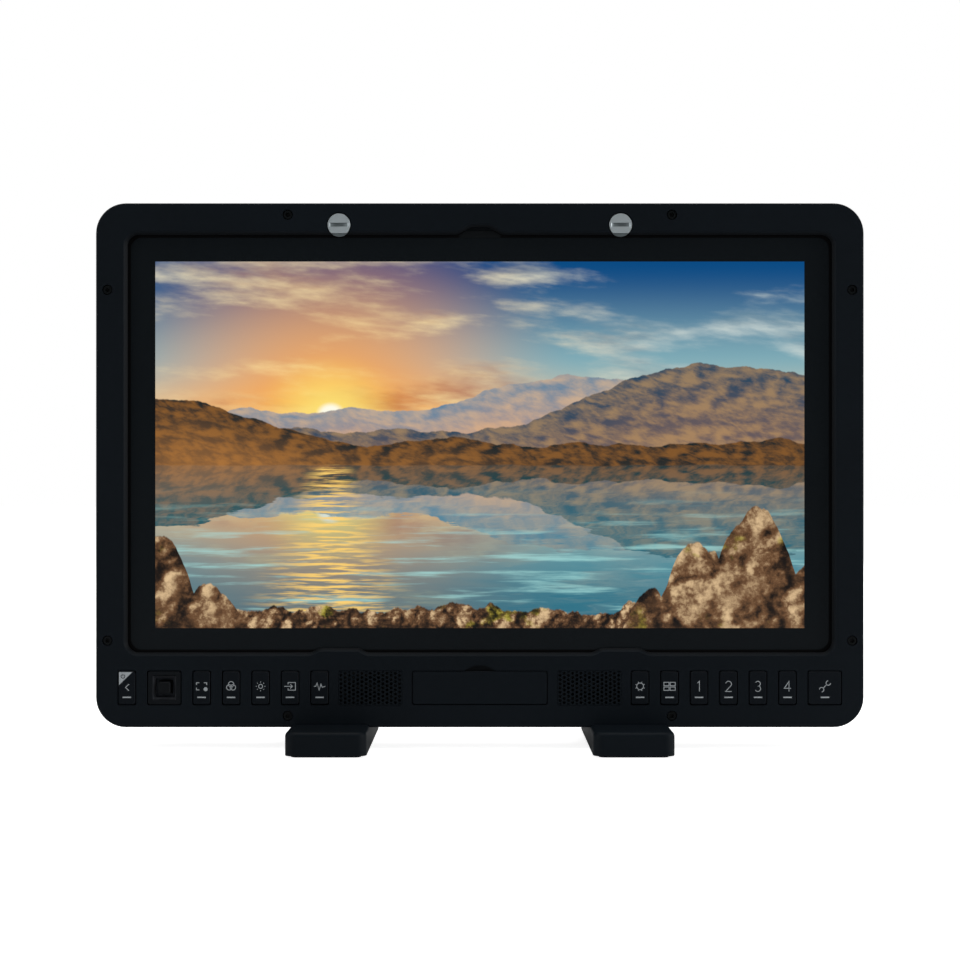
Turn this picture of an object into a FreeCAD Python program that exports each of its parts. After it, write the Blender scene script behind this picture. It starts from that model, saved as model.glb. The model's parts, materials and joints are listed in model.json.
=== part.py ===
import FreeCAD, Part
import math
import os
from FreeCAD import Vector

# Production monitor with a 13.3 inch screen on two feet, in millimetres.
# X runs to the viewer's right, Y from the front to the back and Z up.
# The origin lies on the table, under the middle of the feet.

# Cuts, edges and fits
overrun = 1.0
tolerance = 0.0001
parallel_share = 0.999
right_angle = 90.0
full_turn = 360.0
hex_sides = 6
running_play = 0.05
screw_play = 0.1
panel_play = 0.2

# Screen: picture area, black border of the glass, layers behind it
active_width = 293.8
active_height = 165.2
mask_side = 11.6
mask_top = 11.9
mask_bottom = 10.9
lip_depth = 2.5
gasket_reveal = 1.2
gasket_thickness = 0.3
glass_overlap = 1.8
glass_radius = 4.0
glass_thickness = 1.1
panel_border = 5.0
panel_thickness = 1.6
backlight_border = 1.0
backlight_thickness = 6.5
backlight_wall = 0.8
led_bar_height = 5.0

# Front frame and rear housing
side_rail = 14.0
top_rail = 14.0
bottom_rail = 33.5
body_radius = 13.5
frame_depth = 8.0
housing_depth = 32.0
front_edge_radius = 0.8
back_edge_chamfer = 3.0
side_wall = 4.0
back_wall = 4.0
front_wall = 3.0

# Edge of the screen window: finger notch above, two lands below
window_radius = 5.0
window_chamfer = 1.5
notch_base = 20.0
notch_flat = 8.6
notch_rise = 3.4
notch_radius = 7.0
land_base = 25.6
land_flat = 17.4
land_rise = 2.0
land_radius = 5.0

# Half-turn locks in the top rail
lock_spacing = 126.6
lock_drop = 9.7
lock_radius = 5.1
lock_gap = 0.45
lock_float = 0.05
lock_flat = 3.75
lock_flange = 0.75
lock_edge = 0.25
lock_slot_width = 1.7
lock_slot_length = 8.6
lock_slot_depth = 1.3
spindle_radius = 1.8
spindle_tail = 0.6
groove_depth = 0.5
clip_radius = 3.2
clip_thickness = 0.6

# Socket screws that join the frame to the housing
frame_screw_inset = 5.2
frame_screw_span_x = 172.6
frame_screw_span_z = 157.6
screw_head_radius = 1.9
screw_head_depth = 2.2
screw_head_sink = 0.4
screw_pocket_gap = 0.4
screw_shank_radius = 1.25
screw_grip = 8.0
screw_socket = 1.9
screw_socket_depth = 1.2
boss_wall = 2.0
boss_tail = 2.0

# Control row under the screen
key_width = 7.5
wide_key_width = 14.6
key_height = 14.75
key_radius = 0.9
key_gap = 0.45
key_proud = 0.2
key_chamfer = 0.25
key_travel = 0.5
key_slack = 0.1
key_flange = 0.75
key_flange_thickness = 0.8
key_nub_radius = 1.5
key_nub_length = 0.4
key_pocket_gap = 0.3
key_edge_inset = 14.0
row_shift = 1.0
strip_gap = 4.8

# Switches and key boards
switch_size = 6.0
switch_body = 3.5
switch_button_radius = 1.7
switch_button = 1.5
board_thickness = 1.6
board_screw_radius = 0.9
board_screw_head_radius = 1.9
board_screw_head = 1.2
board_screw_grip = 4.0
board_post_radius = 2.0

# Joystick
stick_tilt_angle = 6.0
stick_travel = 0.4
stick_slack = 0.1
stick_room = 0.15
stick_proud = 0.3
stick_cap = 5.4
stick_cap_radius = 0.8
stick_cap_crown = 1.0
stick_skirt = 9.8
stick_skirt_thickness = 0.5
stick_mouth_width = 10.6
stick_mouth_height = 11.6
stick_mouth_depth = 2.0
stick_throat = 8.6
stick_base_thickness = 0.8
stick_ear = 1.2
stick_ear_width = 3.0
stick_ear_rise = 0.9
stick_ring = 7.2
stick_ring_wall = 1.3
stick_ring_thickness = 1.6
stick_block_gap = 0.4
stick_pin_radius = 0.5
stick_post_radius = 1.2

# Speaker grilles and drivers
grille_width = 28.4
grille_height = 15.4
grille_radius = 0.9
grille_gap = 0.15
grille_thickness = 1.0
grille_ledge = 0.8
grille_pitch = 1.88
grille_hole_radius = 0.73
grille_rim = 0.3
grille_hole_sides = 6
speaker_height = 15.4
speaker_width = 28.8
speaker_flange = 0.8
speaker_room = 0.3
speaker_basket = 3.4
speaker_basket_inset = 1.6
speaker_basket_radius = 4.0
speaker_cone_inset = 1.2
speaker_cone_depth = 2.2
speaker_magnet_radius = 5.0
speaker_magnet = 2.6

# Lift-out plate in the middle of the control row
plate_width = 60.4
plate_thickness = 1.5
plate_radius = 1.2
plate_gap = 0.35
plate_chamfer = 0.25
plate_notch_base = 14.4
plate_notch_flat = 4.8
plate_notch_rise = 2.4
plate_notch_radius = 3.0
magnet_radius = 2.5
magnet_thickness = 1.0
magnet_spacing = 40.0

# Panel brackets
bracket_thickness = 1.0
bracket_length = 24.0
bracket_reach = 8.0
bracket_tab = 6.0
bracket_gap = 0.6
bracket_bend = 0.6
bracket_spacing = 84.0

# Feet
foot_width = 35.6
foot_length = 96.0
foot_reach = 26.0
foot_seat = 10.0
foot_lip = 1.2
foot_gap = 0.3
foot_spacing = 134.4
foot_radius = 4.5
foot_top_radius = 2.0
pad_height = 0.8
pad_sunk = 0.6
pad_inset = 2.6
pad_length = 28.0
pad_radius = 2.5
foot_screw_radius = 3.0
foot_screw_head_radius = 5.0
foot_screw_head = 3.6
foot_screw_sink = 0.6
foot_screw_socket = 4.0
foot_screw_socket_depth = 2.0
foot_screw_grip = 9.0

# Threaded holes for accessories, and the rear plate pattern
thread_radius = 3.175
thread_depth = 10.0
thread_floor = 2.0
thread_boss_width = 14.0
top_thread_spacing = 134.4
vesa_small = 75.0
vesa_large = 100.0
vesa_hole_radius = 2.0
vesa_depth = 9.0
vesa_boss_radius = 5.5
vesa_floor = 1.5

# Main board, heat sink and driver board
post_length = 11.0
post_radius = 3.0
post_inset = 5.0
main_board_top = 34.0
main_board_skirt = 12.0
processor_size = 31.0
processor_height = 2.2
heat_sink_gap = 4.0
heat_sink_height = 50.0
heat_sink_base = 2.5
heat_sink_clearance = 1.0
fin_thickness = 1.2
fin_pitch = 5.0
driver_board_width = 62.0
driver_board_height = 84.0
driver_board_gap = 8.0
driver_board_lift = -6.0
coil_size = 12.0
coil_height = 6.0
coil_spacing = 24.0

# Fan behind the rear grille
fan_size = 40.0
fan_depth = 9.0
fan_radius = 3.0
fan_bore_radius = 18.8
fan_board_gap = 6.0
fan_lift = 34.0
fan_hub_radius = 7.8
fan_plate_radius = 8.4
fan_plate = 1.4
fan_strut = 2.4
fan_strut_count = 4
fan_pin_radius = 1.5
fan_pin_room = 0.6
fan_end_room = 0.7
fan_blade_count = 7
fan_blade_room = 0.6
fan_blade_thickness = 0.9
fan_blade_lean = 4.6
fan_screw_span = 32.0
fan_screw_radius = 1.5
fan_screw_head_radius = 2.8
fan_screw_head = 1.6
fan_screw_sink = 0.3
fan_screw_grip = 6.0
fan_screw_socket = 2.0
fan_screw_socket_depth = 1.0
guard_rings = 4
guard_core_radius = 4.0
guard_slot = 2.6
guard_bar = 1.1
guard_spoke = 1.6
guard_spoke_angles = [45.0, 135.0]

# Vent slots in the back
vent_slot_width = 3.0
vent_slot_height = 46.0
vent_pitch = 7.0
vent_count = 9
vent_offset = 118.0
vent_lift = 32.0
side_vent_drop = 30.0
side_vent_height = 34.0
side_vent_count = 6

# Connector plate and sockets
socket_lift = 37.5
socket_gap = 4.4
socket_plate_height = 26.0
socket_plate_radius = 3.0
socket_plate_thickness = 1.5
socket_plate_margin = 5.0
socket_plate_sink = 1.0
socket_plate_ledge = 3.0
socket_hole_play = 0.25
video_body = 13.0
video_radius = 4.8
video_bore_radius = 4.0
video_bore_depth = 7.0
video_core_radius = 2.4
video_contact_radius = 0.7
video_core_drop = 1.2
video_reach = 7.0
video_lug_radius = 0.95
video_lug_reach = 0.9
video_lug_drop = 2.6
link_width = 15.2
link_height = 6.2
link_wall = 0.6
link_depth = 9.0
link_tongue = 1.2
link_tongue_inset = 1.6
data_width = 13.2
data_height = 6.4
data_wall = 0.6
data_tongue = 1.9
data_tongue_inset = 0.8
phones_width = 7.4
phones_radius = 3.2
phones_bore_radius = 1.8
phones_depth = 12.0
phones_reach = 1.4
power_width = 14.0
power_radius = 6.2
power_bore_radius = 4.6
power_depth = 7.0
power_pin_radius = 0.75
power_pin_spacing = 3.6
power_pin_drop = 1.5
power_reach = 2.0

# Flat cables
cable_thickness = 0.4
cable_bend = 0.8
display_cable_width = 32.0
display_cable_tab = 8.0
display_cable_drop = 14.0
display_cable_rise = 12.0
key_cable_width = 10.0
key_cable_tab = 4.0
key_cable_rise = 7.0
key_cable_inset = 1.0

# Overall sizes and datum planes worked out from the values above
window_width = active_width + 2 * mask_side
window_height = active_height + mask_top + mask_bottom
body_width = window_width + 2 * side_rail
body_height = window_height + top_rail + bottom_rail
front_y = foot_reach - foot_length / 2
split_y = front_y + frame_depth
back_y = split_y + housing_depth
back_inner_y = back_y - back_wall
body_bottom = foot_seat
body_top = body_bottom + body_height
body_z = (body_bottom + body_top) / 2
window_bottom = body_bottom + bottom_rail
window_top = window_bottom + window_height
window_z = (window_bottom + window_top) / 2
active_z = window_bottom + mask_bottom + active_height / 2

# Layers behind the window lip
lip_back_y = front_y + lip_depth
glass_y = lip_back_y + gasket_thickness
panel_y = glass_y + glass_thickness
backlight_y = panel_y + panel_thickness
backlight_back_y = backlight_y + backlight_thickness
glass_width = window_width + 2 * glass_overlap
glass_height = window_height + 2 * glass_overlap
glass_pocket_width = glass_width + 2 * panel_play
panel_width = active_width + 2 * panel_border
panel_height = active_height + 2 * panel_border
backlight_width = panel_width + 2 * backlight_border
backlight_height = panel_height + 2 * backlight_border

# Places along the control row
wall_back_y = front_y + front_wall
row_z = body_bottom + bottom_rail / 2 + row_shift
grille_x = plate_width / 2 + strip_gap + grille_width / 2
first_key_x = grille_x + grille_width / 2 + strip_gap + key_width / 2
wide_extra = (wide_key_width - key_width) / 2
last_key_x = body_width / 2 - key_edge_inset
key_step_count = 6
key_pitch = (last_key_x - 2 * wide_extra - first_key_x) / key_step_count
stick_x = wide_extra + key_pitch - last_key_x
key_flange_back_y = wall_back_y + key_flange_thickness
switch_y = key_flange_back_y + key_nub_length + key_travel + key_slack
key_board_y = switch_y + switch_button + switch_body
key_board_back_y = key_board_y + board_thickness

# Keys: name, place along the row, width
left_key_names = ["key_scope", "key_input", "key_backlight", "key_color", "key_capture"]
right_key_names = ["key_settings", "key_multi_view", "key_preset_1", "key_preset_2", "key_preset_3",
                   "key_preset_4"]
keys = []
for place, name in enumerate(left_key_names):
    keys.append((name, -(first_key_x + place * key_pitch), key_width))
for place, name in enumerate(right_key_names):
    keys.append((name, first_key_x + place * key_pitch, key_width))
keys.append(("key_back", -last_key_x, key_width))
keys.append(("key_tools", last_key_x - wide_extra, wide_key_width))

# Pockets behind the two key banks
pocket_height = key_height + 2 * (key_flange + key_pocket_gap)
pocket_inner_x = first_key_x - key_width / 2 - key_flange - key_pocket_gap
pocket_outer_x = last_key_x + key_width / 2 + key_flange + key_pocket_gap
pocket_width = pocket_outer_x - pocket_inner_x
pocket_x = (pocket_outer_x + pocket_inner_x) / 2
pocket_top = row_z + pocket_height / 2
glass_pocket_bottom = window_bottom - glass_overlap - panel_play
key_post_z = (pocket_top + glass_pocket_bottom) / 2
key_board_top = key_post_z + board_post_radius
key_board_height = key_board_top - row_z + pocket_height / 2
key_post_shares = [-0.36, 0.0, 0.36]
key_post_xs = [side * pocket_x + share * pocket_width for side in (-1, 1) for share in key_post_shares]

# Joystick levels, from the bezel's back to the board, with room for both tips at once
tilt = math.radians(stick_tilt_angle)
stick_skirt_y = key_flange_back_y + stick_skirt * math.sin(tilt) + stick_room
stick_base_y = key_board_y - stick_base_thickness
stick_swing = stick_ring / 2 * math.sin(tilt)
stick_pivot_y = stick_base_y - stick_ring_thickness / 2 - stick_swing - stick_room
stick_front_y = front_y - stick_proud
stick_post_y = stick_front_y + stick_cap_crown + stick_travel + stick_slack

# Locks and frame screws
lock_z = body_top - lock_drop
clip_y = split_y + lock_float
side_screw_x = body_width / 2 - frame_screw_inset
row_screw_z = body_height / 2 - frame_screw_inset
frame_screw_places = []
for side in (-1, 1):
    for level in (-1, 1):
        frame_screw_places.append((side * frame_screw_span_x / 2, body_z + level * row_screw_z))
        frame_screw_places.append((side * side_screw_x, body_z + level * frame_screw_span_z / 2))
screw_pocket_radius = screw_head_radius + screw_pocket_gap
screw_head_y = front_y + screw_head_sink
screw_shoulder_y = screw_head_y + screw_head_depth
screw_end_y = split_y + screw_grip

# Connector row along the back
socket_kinds = ["video", "video", "video", "video", "link", "link", "data", "phones", "power"]
socket_widths = {
    "video": video_body,
    "link": link_width,
    "data": data_width,
    "phones": phones_width,
    "power": power_width,
}
socket_row = sum(socket_widths[kind] for kind in socket_kinds) + socket_gap * (len(socket_kinds) - 1)
socket_z = body_bottom + socket_lift
socket_plate_width = socket_row + 2 * socket_plate_margin
socket_plate_y = back_y - socket_plate_sink - socket_plate_thickness
socket_places = {kind: [] for kind in socket_kinds}
socket_edge = -socket_row / 2
for kind in socket_kinds:
    socket_places[kind].append(socket_edge + socket_widths[kind] / 2)
    socket_edge = socket_edge + socket_widths[kind] + socket_gap

# Boards in the housing
main_board_back_y = back_inner_y - post_length
main_board_y = main_board_back_y - board_thickness
main_board_width = socket_plate_width
main_board_bottom = socket_z - main_board_skirt
main_board_height = body_z + main_board_top - main_board_bottom
main_board_z = main_board_bottom + main_board_height / 2
main_post_low_z = socket_z + socket_plate_height / 2 + post_inset
driver_board_x = -(main_board_width / 2 + driver_board_gap + driver_board_width / 2)
driver_board_z = body_z + driver_board_lift
post_places = []
for side in (-1, 1):
    main_post_x = side * (main_board_width / 2 - post_inset)
    post_places.append((main_post_x, main_board_z + main_board_height / 2 - post_inset))
    post_places.append((main_post_x, main_post_low_z))
    for level in (-1, 1):
        driver_post_x = driver_board_x + side * (driver_board_width / 2 - post_inset)
        post_places.append((driver_post_x, driver_board_z + level * (driver_board_height / 2 - post_inset)))
heat_sink_width = vesa_small - 2 * vesa_boss_radius - 2 * heat_sink_gap
fan_x = main_board_width / 2 + fan_board_gap + fan_size / 2
fan_z = body_z + fan_lift
fan_y = back_inner_y - fan_depth
fan_bore_end_y = back_inner_y - 2 * fan_end_room

# Feet
foot_base_z = pad_height
foot_screw_y = (split_y + back_y) / 2

x_axis = Vector(1, 0, 0)
y_axis = Vector(0, 1, 0)
z_axis = Vector(0, 0, 1)


def block(width, depth, height, x, y, z):
    """A box centred on x and z that starts at depth y."""
    return Part.makeBox(width, depth, height, Vector(x - width / 2, y, z - height / 2))


def lines_along(shape, axis):
    """The straight edges of a shape that run along an axis."""
    found = []
    for edge in shape.Edges:
        if isinstance(edge.Curve, Part.Line) and abs(edge.Curve.Direction.dot(axis)) > parallel_share:
            found.append(edge)
    return found


def edges_at_depth(shape, y):
    """The edges of a shape that lie in the plane at depth y."""
    found = []
    for edge in shape.Edges:
        box = edge.BoundBox
        if abs(box.YMin - y) < tolerance and abs(box.YMax - y) < tolerance:
            found.append(edge)
    return found


def edges_at_height(shape, z):
    """The edges of a shape that lie in the plane at height z."""
    found = []
    for edge in shape.Edges:
        box = edge.BoundBox
        if abs(box.ZMin - z) < tolerance and abs(box.ZMax - z) < tolerance:
            found.append(edge)
    return found


def plate(width, height, radius, depth, x, y, z):
    """An upright plate with rounded corners, centred on x and z, that starts at depth y."""
    slab = block(width, depth, height, x, y, z)
    return slab.makeFillet(radius, lines_along(slab, y_axis))


def rod(radius, depth, x, y, z):
    """A cylinder along Y that starts at depth y."""
    return Part.makeCylinder(radius, depth, Vector(x, y, z), y_axis)


def joined(shapes):
    """One solid from shapes that meet."""
    return shapes[0].fuse(shapes[1:]).removeSplitter()


def prism(points, depth):
    """A straight prism along Y over a polygon of points."""
    outline = Part.makePolygon(points + points[:1])
    return Part.Face(outline).extrude(Vector(0, depth, 0))


def polygon_wire(sides, radius, x, y, z):
    """A regular polygon in the plane at depth y, given by the radius to its corners."""
    points = []
    for corner in range(sides + 1):
        turn = 2 * math.pi * corner / sides
        points.append(Vector(x + radius * math.cos(turn), y, z + radius * math.sin(turn)))
    return Part.makePolygon(points)


def hex_socket(across, depth, x, y, z):
    """A hexagonal socket tool, given by its width across flats."""
    wire = polygon_wire(hex_sides, across / math.sqrt(3), x, y, z)
    return Part.Face(wire).extrude(Vector(0, depth, 0))


def ramp(base, flat, rise, x, y, z, depth, way):
    """A low bump with sloping flanks that stands on height z and points up or down."""
    points = [
        Vector(x - base / 2, y, z - way * overrun),
        Vector(x - base / 2, y, z),
        Vector(x - flat / 2, y, z + way * rise),
        Vector(x + flat / 2, y, z + way * rise),
        Vector(x + base / 2, y, z),
        Vector(x + base / 2, y, z - way * overrun),
    ]
    return prism(points, depth)


def soften(shape, radius, base, flat, rise, x, z, way):
    """Rounds the four corners of a ramp where it leaves the edge at height z."""
    corners = []
    for side in (-1, 1):
        corners.append((x + side * base / 2, z))
        corners.append((x + side * flat / 2, z + way * rise))
    chosen = []
    for edge in lines_along(shape, y_axis):
        at = edge.CenterOfMass
        for corner_x, corner_z in corners:
            if abs(at.x - corner_x) < tolerance and abs(at.z - corner_z) < tolerance:
                chosen.append(edge)
    return shape.makeFillet(radius, chosen)


def socket_screw(head_radius, head, shank_radius, length, across, deep, x, y, z):
    """A socket head screw along Y whose head starts at depth y."""
    screw = joined([rod(head_radius, head, x, y, z), rod(shank_radius, head + length, x, y, z)])
    return screw.cut(hex_socket(across, overrun + deep, x, y - overrun, z))


def window_tool():
    """The screen window: a rounded opening, the finger notch in its top and the two lands in its bottom."""
    depth = overrun + lip_depth
    tool = plate(window_width, window_height, window_radius, depth, 0, front_y - overrun, window_z)
    notch = ramp(notch_base, notch_flat, notch_rise, 0, front_y - overrun, window_top, depth, 1)
    tool = joined([tool, notch])
    tool = soften(tool, notch_radius, notch_base, notch_flat, notch_rise, 0, window_top, 1)
    for side in (-1, 1):
        land_x = side * lock_spacing / 2
        land = ramp(land_base, land_flat, land_rise, land_x, front_y - overrun, window_bottom, depth, 1)
        tool = tool.cut(land)
        tool = soften(tool, land_radius, land_base, land_flat, land_rise, land_x, window_bottom, 1)
    return tool


def plate_tool():
    """The shallow seat of the lift-out plate, with the pry notch in its top edge."""
    width = plate_width + 2 * plate_gap
    height = key_height + 2 * plate_gap
    depth = overrun + plate_thickness
    top = row_z + height / 2
    tool = plate(width, height, plate_radius, depth, 0, front_y - overrun, row_z)
    notch = ramp(plate_notch_base, plate_notch_flat, plate_notch_rise, 0, front_y - overrun, top, depth, 1)
    tool = joined([tool, notch])
    return soften(tool, plate_notch_radius, plate_notch_base, plate_notch_flat, plate_notch_rise, 0, top, 1)


def magnet(side):
    """One of the magnets behind the lift-out plate."""
    x = side * magnet_spacing / 2
    return rod(magnet_radius, magnet_thickness, x, front_y + plate_thickness, row_z)


def front_frame():
    """The machined front: window, control row, lock seats and screw pockets."""
    frame = plate(body_width, body_height, body_radius, frame_depth, 0, front_y, body_z)
    frame = frame.makeFillet(front_edge_radius, edges_at_depth(frame, front_y))
    outer_edges = [edge.CenterOfMass for edge in edges_at_depth(frame, front_y)]
    frame = frame.cut(window_tool())
    rim = []
    for edge in edges_at_depth(frame, front_y):
        if all(edge.CenterOfMass.distanceToPoint(old) > tolerance for old in outer_edges):
            rim.append(edge)
    frame = frame.makeChamfer(window_chamfer, rim)
    pocket_depth = split_y + overrun - lip_back_y
    glass_pocket_height = glass_height + 2 * panel_play
    through = frame_depth + 2 * overrun
    tool_y = front_y - overrun
    cuts = [plate_tool()]
    cuts.append(plate(glass_pocket_width, glass_pocket_height, glass_radius, pocket_depth,
                      0, lip_back_y, window_z))
    for side in (-1, 1):
        lock_x = side * lock_spacing / 2
        cuts.append(rod(lock_radius + lock_gap, overrun + lip_depth, lock_x, tool_y, lock_z))
        cuts.append(rod(spindle_radius + running_play, through, lock_x, tool_y, lock_z))
        cuts.append(magnet(side))
        bank_depth = split_y + overrun - wall_back_y
        cuts.append(block(pocket_width, bank_depth, pocket_height, side * pocket_x, wall_back_y, row_z))
        speaker_x = side * grille_x
        room_width = speaker_width + 2 * speaker_room
        room_height = speaker_height + 2 * speaker_room
        cuts.append(block(room_width, bank_depth, room_height, speaker_x, wall_back_y, row_z))
        seat_width = grille_width + 2 * grille_gap
        seat_height = grille_height + 2 * grille_gap
        seat_depth = overrun + grille_thickness
        cuts.append(plate(seat_width, seat_height, grille_radius, seat_depth, speaker_x, tool_y, row_z))
        mouth_width = grille_width - 2 * grille_ledge
        mouth_height = grille_height - 2 * grille_ledge
        cuts.append(plate(mouth_width, mouth_height, grille_radius, front_wall, speaker_x, front_y, row_z))
        for level in (-1, 1):
            hole_x = side * bracket_screw_x
            hole_z = window_z + level * bracket_spacing / 2
            hole_depth = board_screw_grip + screw_play
            hole_y = split_y - hole_depth
            cuts.append(rod(board_screw_radius + screw_play, hole_depth, hole_x, hole_y, hole_z))
    opening_height = key_height + 2 * key_gap
    opening_depth = front_wall + overrun
    for name, x, width in keys + [("joystick", stick_x, wide_key_width)]:
        opening_width = width + 2 * key_gap
        cuts.append(plate(opening_width, opening_height, key_radius, opening_depth, x, tool_y, row_z))
    for screw_x, screw_z in frame_screw_places:
        pocket = overrun + screw_head_sink + screw_head_depth
        cuts.append(rod(screw_pocket_radius, pocket, screw_x, tool_y, screw_z))
        cuts.append(rod(screw_shank_radius + screw_play, through, screw_x, tool_y, screw_z))
    frame = frame.cut(cuts)
    posts = []
    for post_x in key_post_xs:
        posts.append(rod(board_post_radius, key_board_y - split_y, post_x, split_y, key_post_z))
    frame = joined([frame] + posts)
    holes = []
    hole_depth = board_screw_grip + screw_play
    hole_y = key_board_y - hole_depth
    for post_x in key_post_xs:
        holes.append(rod(board_screw_radius + screw_play, hole_depth, post_x, hole_y, key_post_z))
    return frame.cut(holes)


def guard_tool():
    """The fan outlet: rings of slots round a solid core, divided by spokes."""
    depth = back_wall + 2 * overrun
    rings = []
    for ring in range(guard_rings):
        inner = guard_core_radius + ring * (guard_slot + guard_bar)
        outer = rod(inner + guard_slot, depth, fan_x, back_inner_y - overrun, fan_z)
        rings.append(outer.cut(rod(inner, depth, fan_x, back_inner_y - overrun, fan_z)))
    reach = 2 * (guard_core_radius + guard_rings * (guard_slot + guard_bar))
    spokes = []
    for turn in guard_spoke_angles:
        spoke = block(reach, depth, guard_spoke, fan_x, back_inner_y - overrun, fan_z)
        spoke.rotate(Vector(fan_x, 0, fan_z), y_axis, turn)
        spokes.append(spoke)
    return Part.makeCompound(rings).cut(spokes)


def thread_places():
    """Mouth and inward direction of each threaded accessory hole."""
    middle_y = (split_y + back_y) / 2
    places = []
    for side in (-1, 1):
        places.append((Vector(side * top_thread_spacing / 2, middle_y, body_top), Vector(0, 0, -1)))
        places.append((Vector(side * body_width / 2, middle_y, body_z), Vector(-side, 0, 0)))
    return places


def rear_housing():
    """The deep rear tub: walls, bosses, vents, fan outlet, mounting holes and the connector window."""
    shell = plate(body_width, body_height, body_radius, housing_depth, 0, split_y, body_z)
    shell = shell.makeChamfer(back_edge_chamfer, edges_at_depth(shell, back_y))
    hollow_width = body_width - 2 * side_wall
    hollow_height = body_height - 2 * side_wall
    hollow_depth = housing_depth - back_wall + overrun
    hollow_radius = body_radius - side_wall
    hollow = plate(hollow_width, hollow_height, hollow_radius, hollow_depth, 0, split_y - overrun, body_z)
    solid_core = shell.common(hollow)
    shell = shell.cut(hollow)
    bosses = []
    holes = []
    for screw_x, screw_z in frame_screw_places:
        boss_depth = screw_grip + boss_tail
        bosses.append(rod(screw_shank_radius + boss_wall, boss_depth, screw_x, split_y, screw_z))
        hole_depth = overrun + screw_grip + screw_play
        holes.append(rod(screw_shank_radius + screw_play, hole_depth, screw_x, split_y - overrun, screw_z))
    for spacing in (vesa_small, vesa_large):
        for side in (-1, 1):
            for level in (-1, 1):
                hole_x = side * spacing / 2
                hole_z = body_z + level * spacing / 2
                boss_depth = vesa_depth + vesa_floor - back_wall
                bosses.append(rod(vesa_boss_radius, boss_depth, hole_x, back_inner_y - boss_depth, hole_z))
                holes.append(rod(vesa_hole_radius, vesa_depth + overrun, hole_x, back_y - vesa_depth, hole_z))
    for post_x, post_z in post_places:
        bosses.append(rod(post_radius, post_length, post_x, main_board_back_y, post_z))
        hole_depth = board_screw_grip + screw_play
        holes.append(rod(board_screw_radius + screw_play, hole_depth, post_x, main_board_back_y, post_z))
    for mouth, inward in thread_places():
        boss = Part.makeBox(thread_boss_width, thread_boss_width, thread_boss_width)
        boss.translate(-Vector(thread_boss_width, thread_boss_width, thread_boss_width) / 2)
        boss.translate(mouth + inward * (thread_depth + thread_floor - thread_boss_width / 2))
        bosses.append(boss)
        hole = Part.makeCylinder(thread_radius, overrun + thread_depth, mouth - inward * overrun, inward)
        holes.append(hole)
    for side in (-1, 1):
        boss_height = foot_screw_grip + thread_floor
        boss_z = body_bottom + boss_height / 2
        foot_x = side * foot_spacing / 2
        boss_y = foot_screw_y - thread_boss_width / 2
        bosses.append(block(thread_boss_width, thread_boss_width, boss_height, foot_x, boss_y, boss_z))
        mouth = Vector(foot_x, foot_screw_y, body_bottom - overrun)
        hole_depth = overrun + foot_screw_grip + screw_play
        holes.append(Part.makeCylinder(foot_screw_radius + screw_play, hole_depth, mouth))
    bosses = [boss.common(solid_core) for boss in bosses]
    shell = joined([shell] + bosses)
    slot_radius = vent_slot_width / 2 - tolerance
    slot_depth = back_wall + 2 * overrun
    slot_y = back_inner_y - overrun
    vents = [(-vent_offset, body_z + vent_lift, vent_slot_height, vent_count)]
    vents.append((fan_x, body_z - side_vent_drop, side_vent_height, side_vent_count))
    for vent_x, vent_z, height, count in vents:
        for place in range(count):
            slot_x = vent_x + (place - (count - 1) / 2) * vent_pitch
            holes.append(plate(vent_slot_width, height, slot_radius, slot_depth, slot_x, slot_y, vent_z))
    holes.append(guard_tool())
    for screw_x, screw_z in fan_screw_places():
        holes.append(rod(fan_screw_radius + screw_play, slot_depth, screw_x, slot_y, screw_z))
        sink = fan_screw_head + fan_screw_sink
        holes.append(rod(fan_screw_head_radius + screw_play, sink + overrun, screw_x, back_y - sink, screw_z))
    seat_width = socket_plate_width + 2 * panel_play
    seat_height = socket_plate_height + 2 * panel_play
    seat_depth = back_y + overrun - socket_plate_y
    holes.append(plate(seat_width, seat_height, socket_plate_radius, seat_depth, 0, socket_plate_y, socket_z))
    mouth_width = socket_plate_width - 2 * socket_plate_ledge
    mouth_height = socket_plate_height - 2 * socket_plate_ledge
    holes.append(plate(mouth_width, mouth_height, socket_plate_radius, slot_depth, 0, slot_y, socket_z))
    return shell.cut(holes)


def frame_screws():
    """The eight socket screws round the front."""
    length = screw_end_y - screw_shoulder_y
    screws = []
    for screw_x, screw_z in frame_screw_places:
        screws.append(socket_screw(screw_head_radius, screw_head_depth, screw_shank_radius, length,
                                   screw_socket, screw_socket_depth, screw_x, screw_head_y, screw_z))
    return Part.makeCompound(screws)


def glass_gasket():
    """The flat gasket that the cover glass is bonded to."""
    ring = plate(glass_width, glass_height, glass_radius, gasket_thickness, 0, lip_back_y, window_z)
    hole_width = window_width - 2 * gasket_reveal
    hole_height = window_height - 2 * gasket_reveal
    hole_depth = gasket_thickness + 2 * overrun
    hole = plate(hole_width, hole_height, window_radius, hole_depth, 0, lip_back_y - overrun, window_z)
    return ring.cut(hole)


def cover_glass():
    """The cover glass, whose printed black border frames the picture."""
    return plate(glass_width, glass_height, glass_radius, glass_thickness, 0, glass_y, window_z)


def picture_panel():
    """The picture panel, bonded to the back of the glass."""
    return block(panel_width, panel_thickness, panel_height, 0, panel_y, active_z)


def backlight_unit():
    """The backlight tray, open to the panel, with a lamp bar along its top and bottom."""
    tray = block(backlight_width, backlight_thickness, backlight_height, 0, backlight_y, active_z)
    inner_width = backlight_width - 2 * backlight_wall
    inner_height = backlight_height - 2 * (backlight_wall + led_bar_height)
    inner_depth = backlight_thickness - backlight_wall + overrun
    return tray.cut(block(inner_width, inner_depth, inner_height, 0, backlight_y - overrun, active_z))


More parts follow.
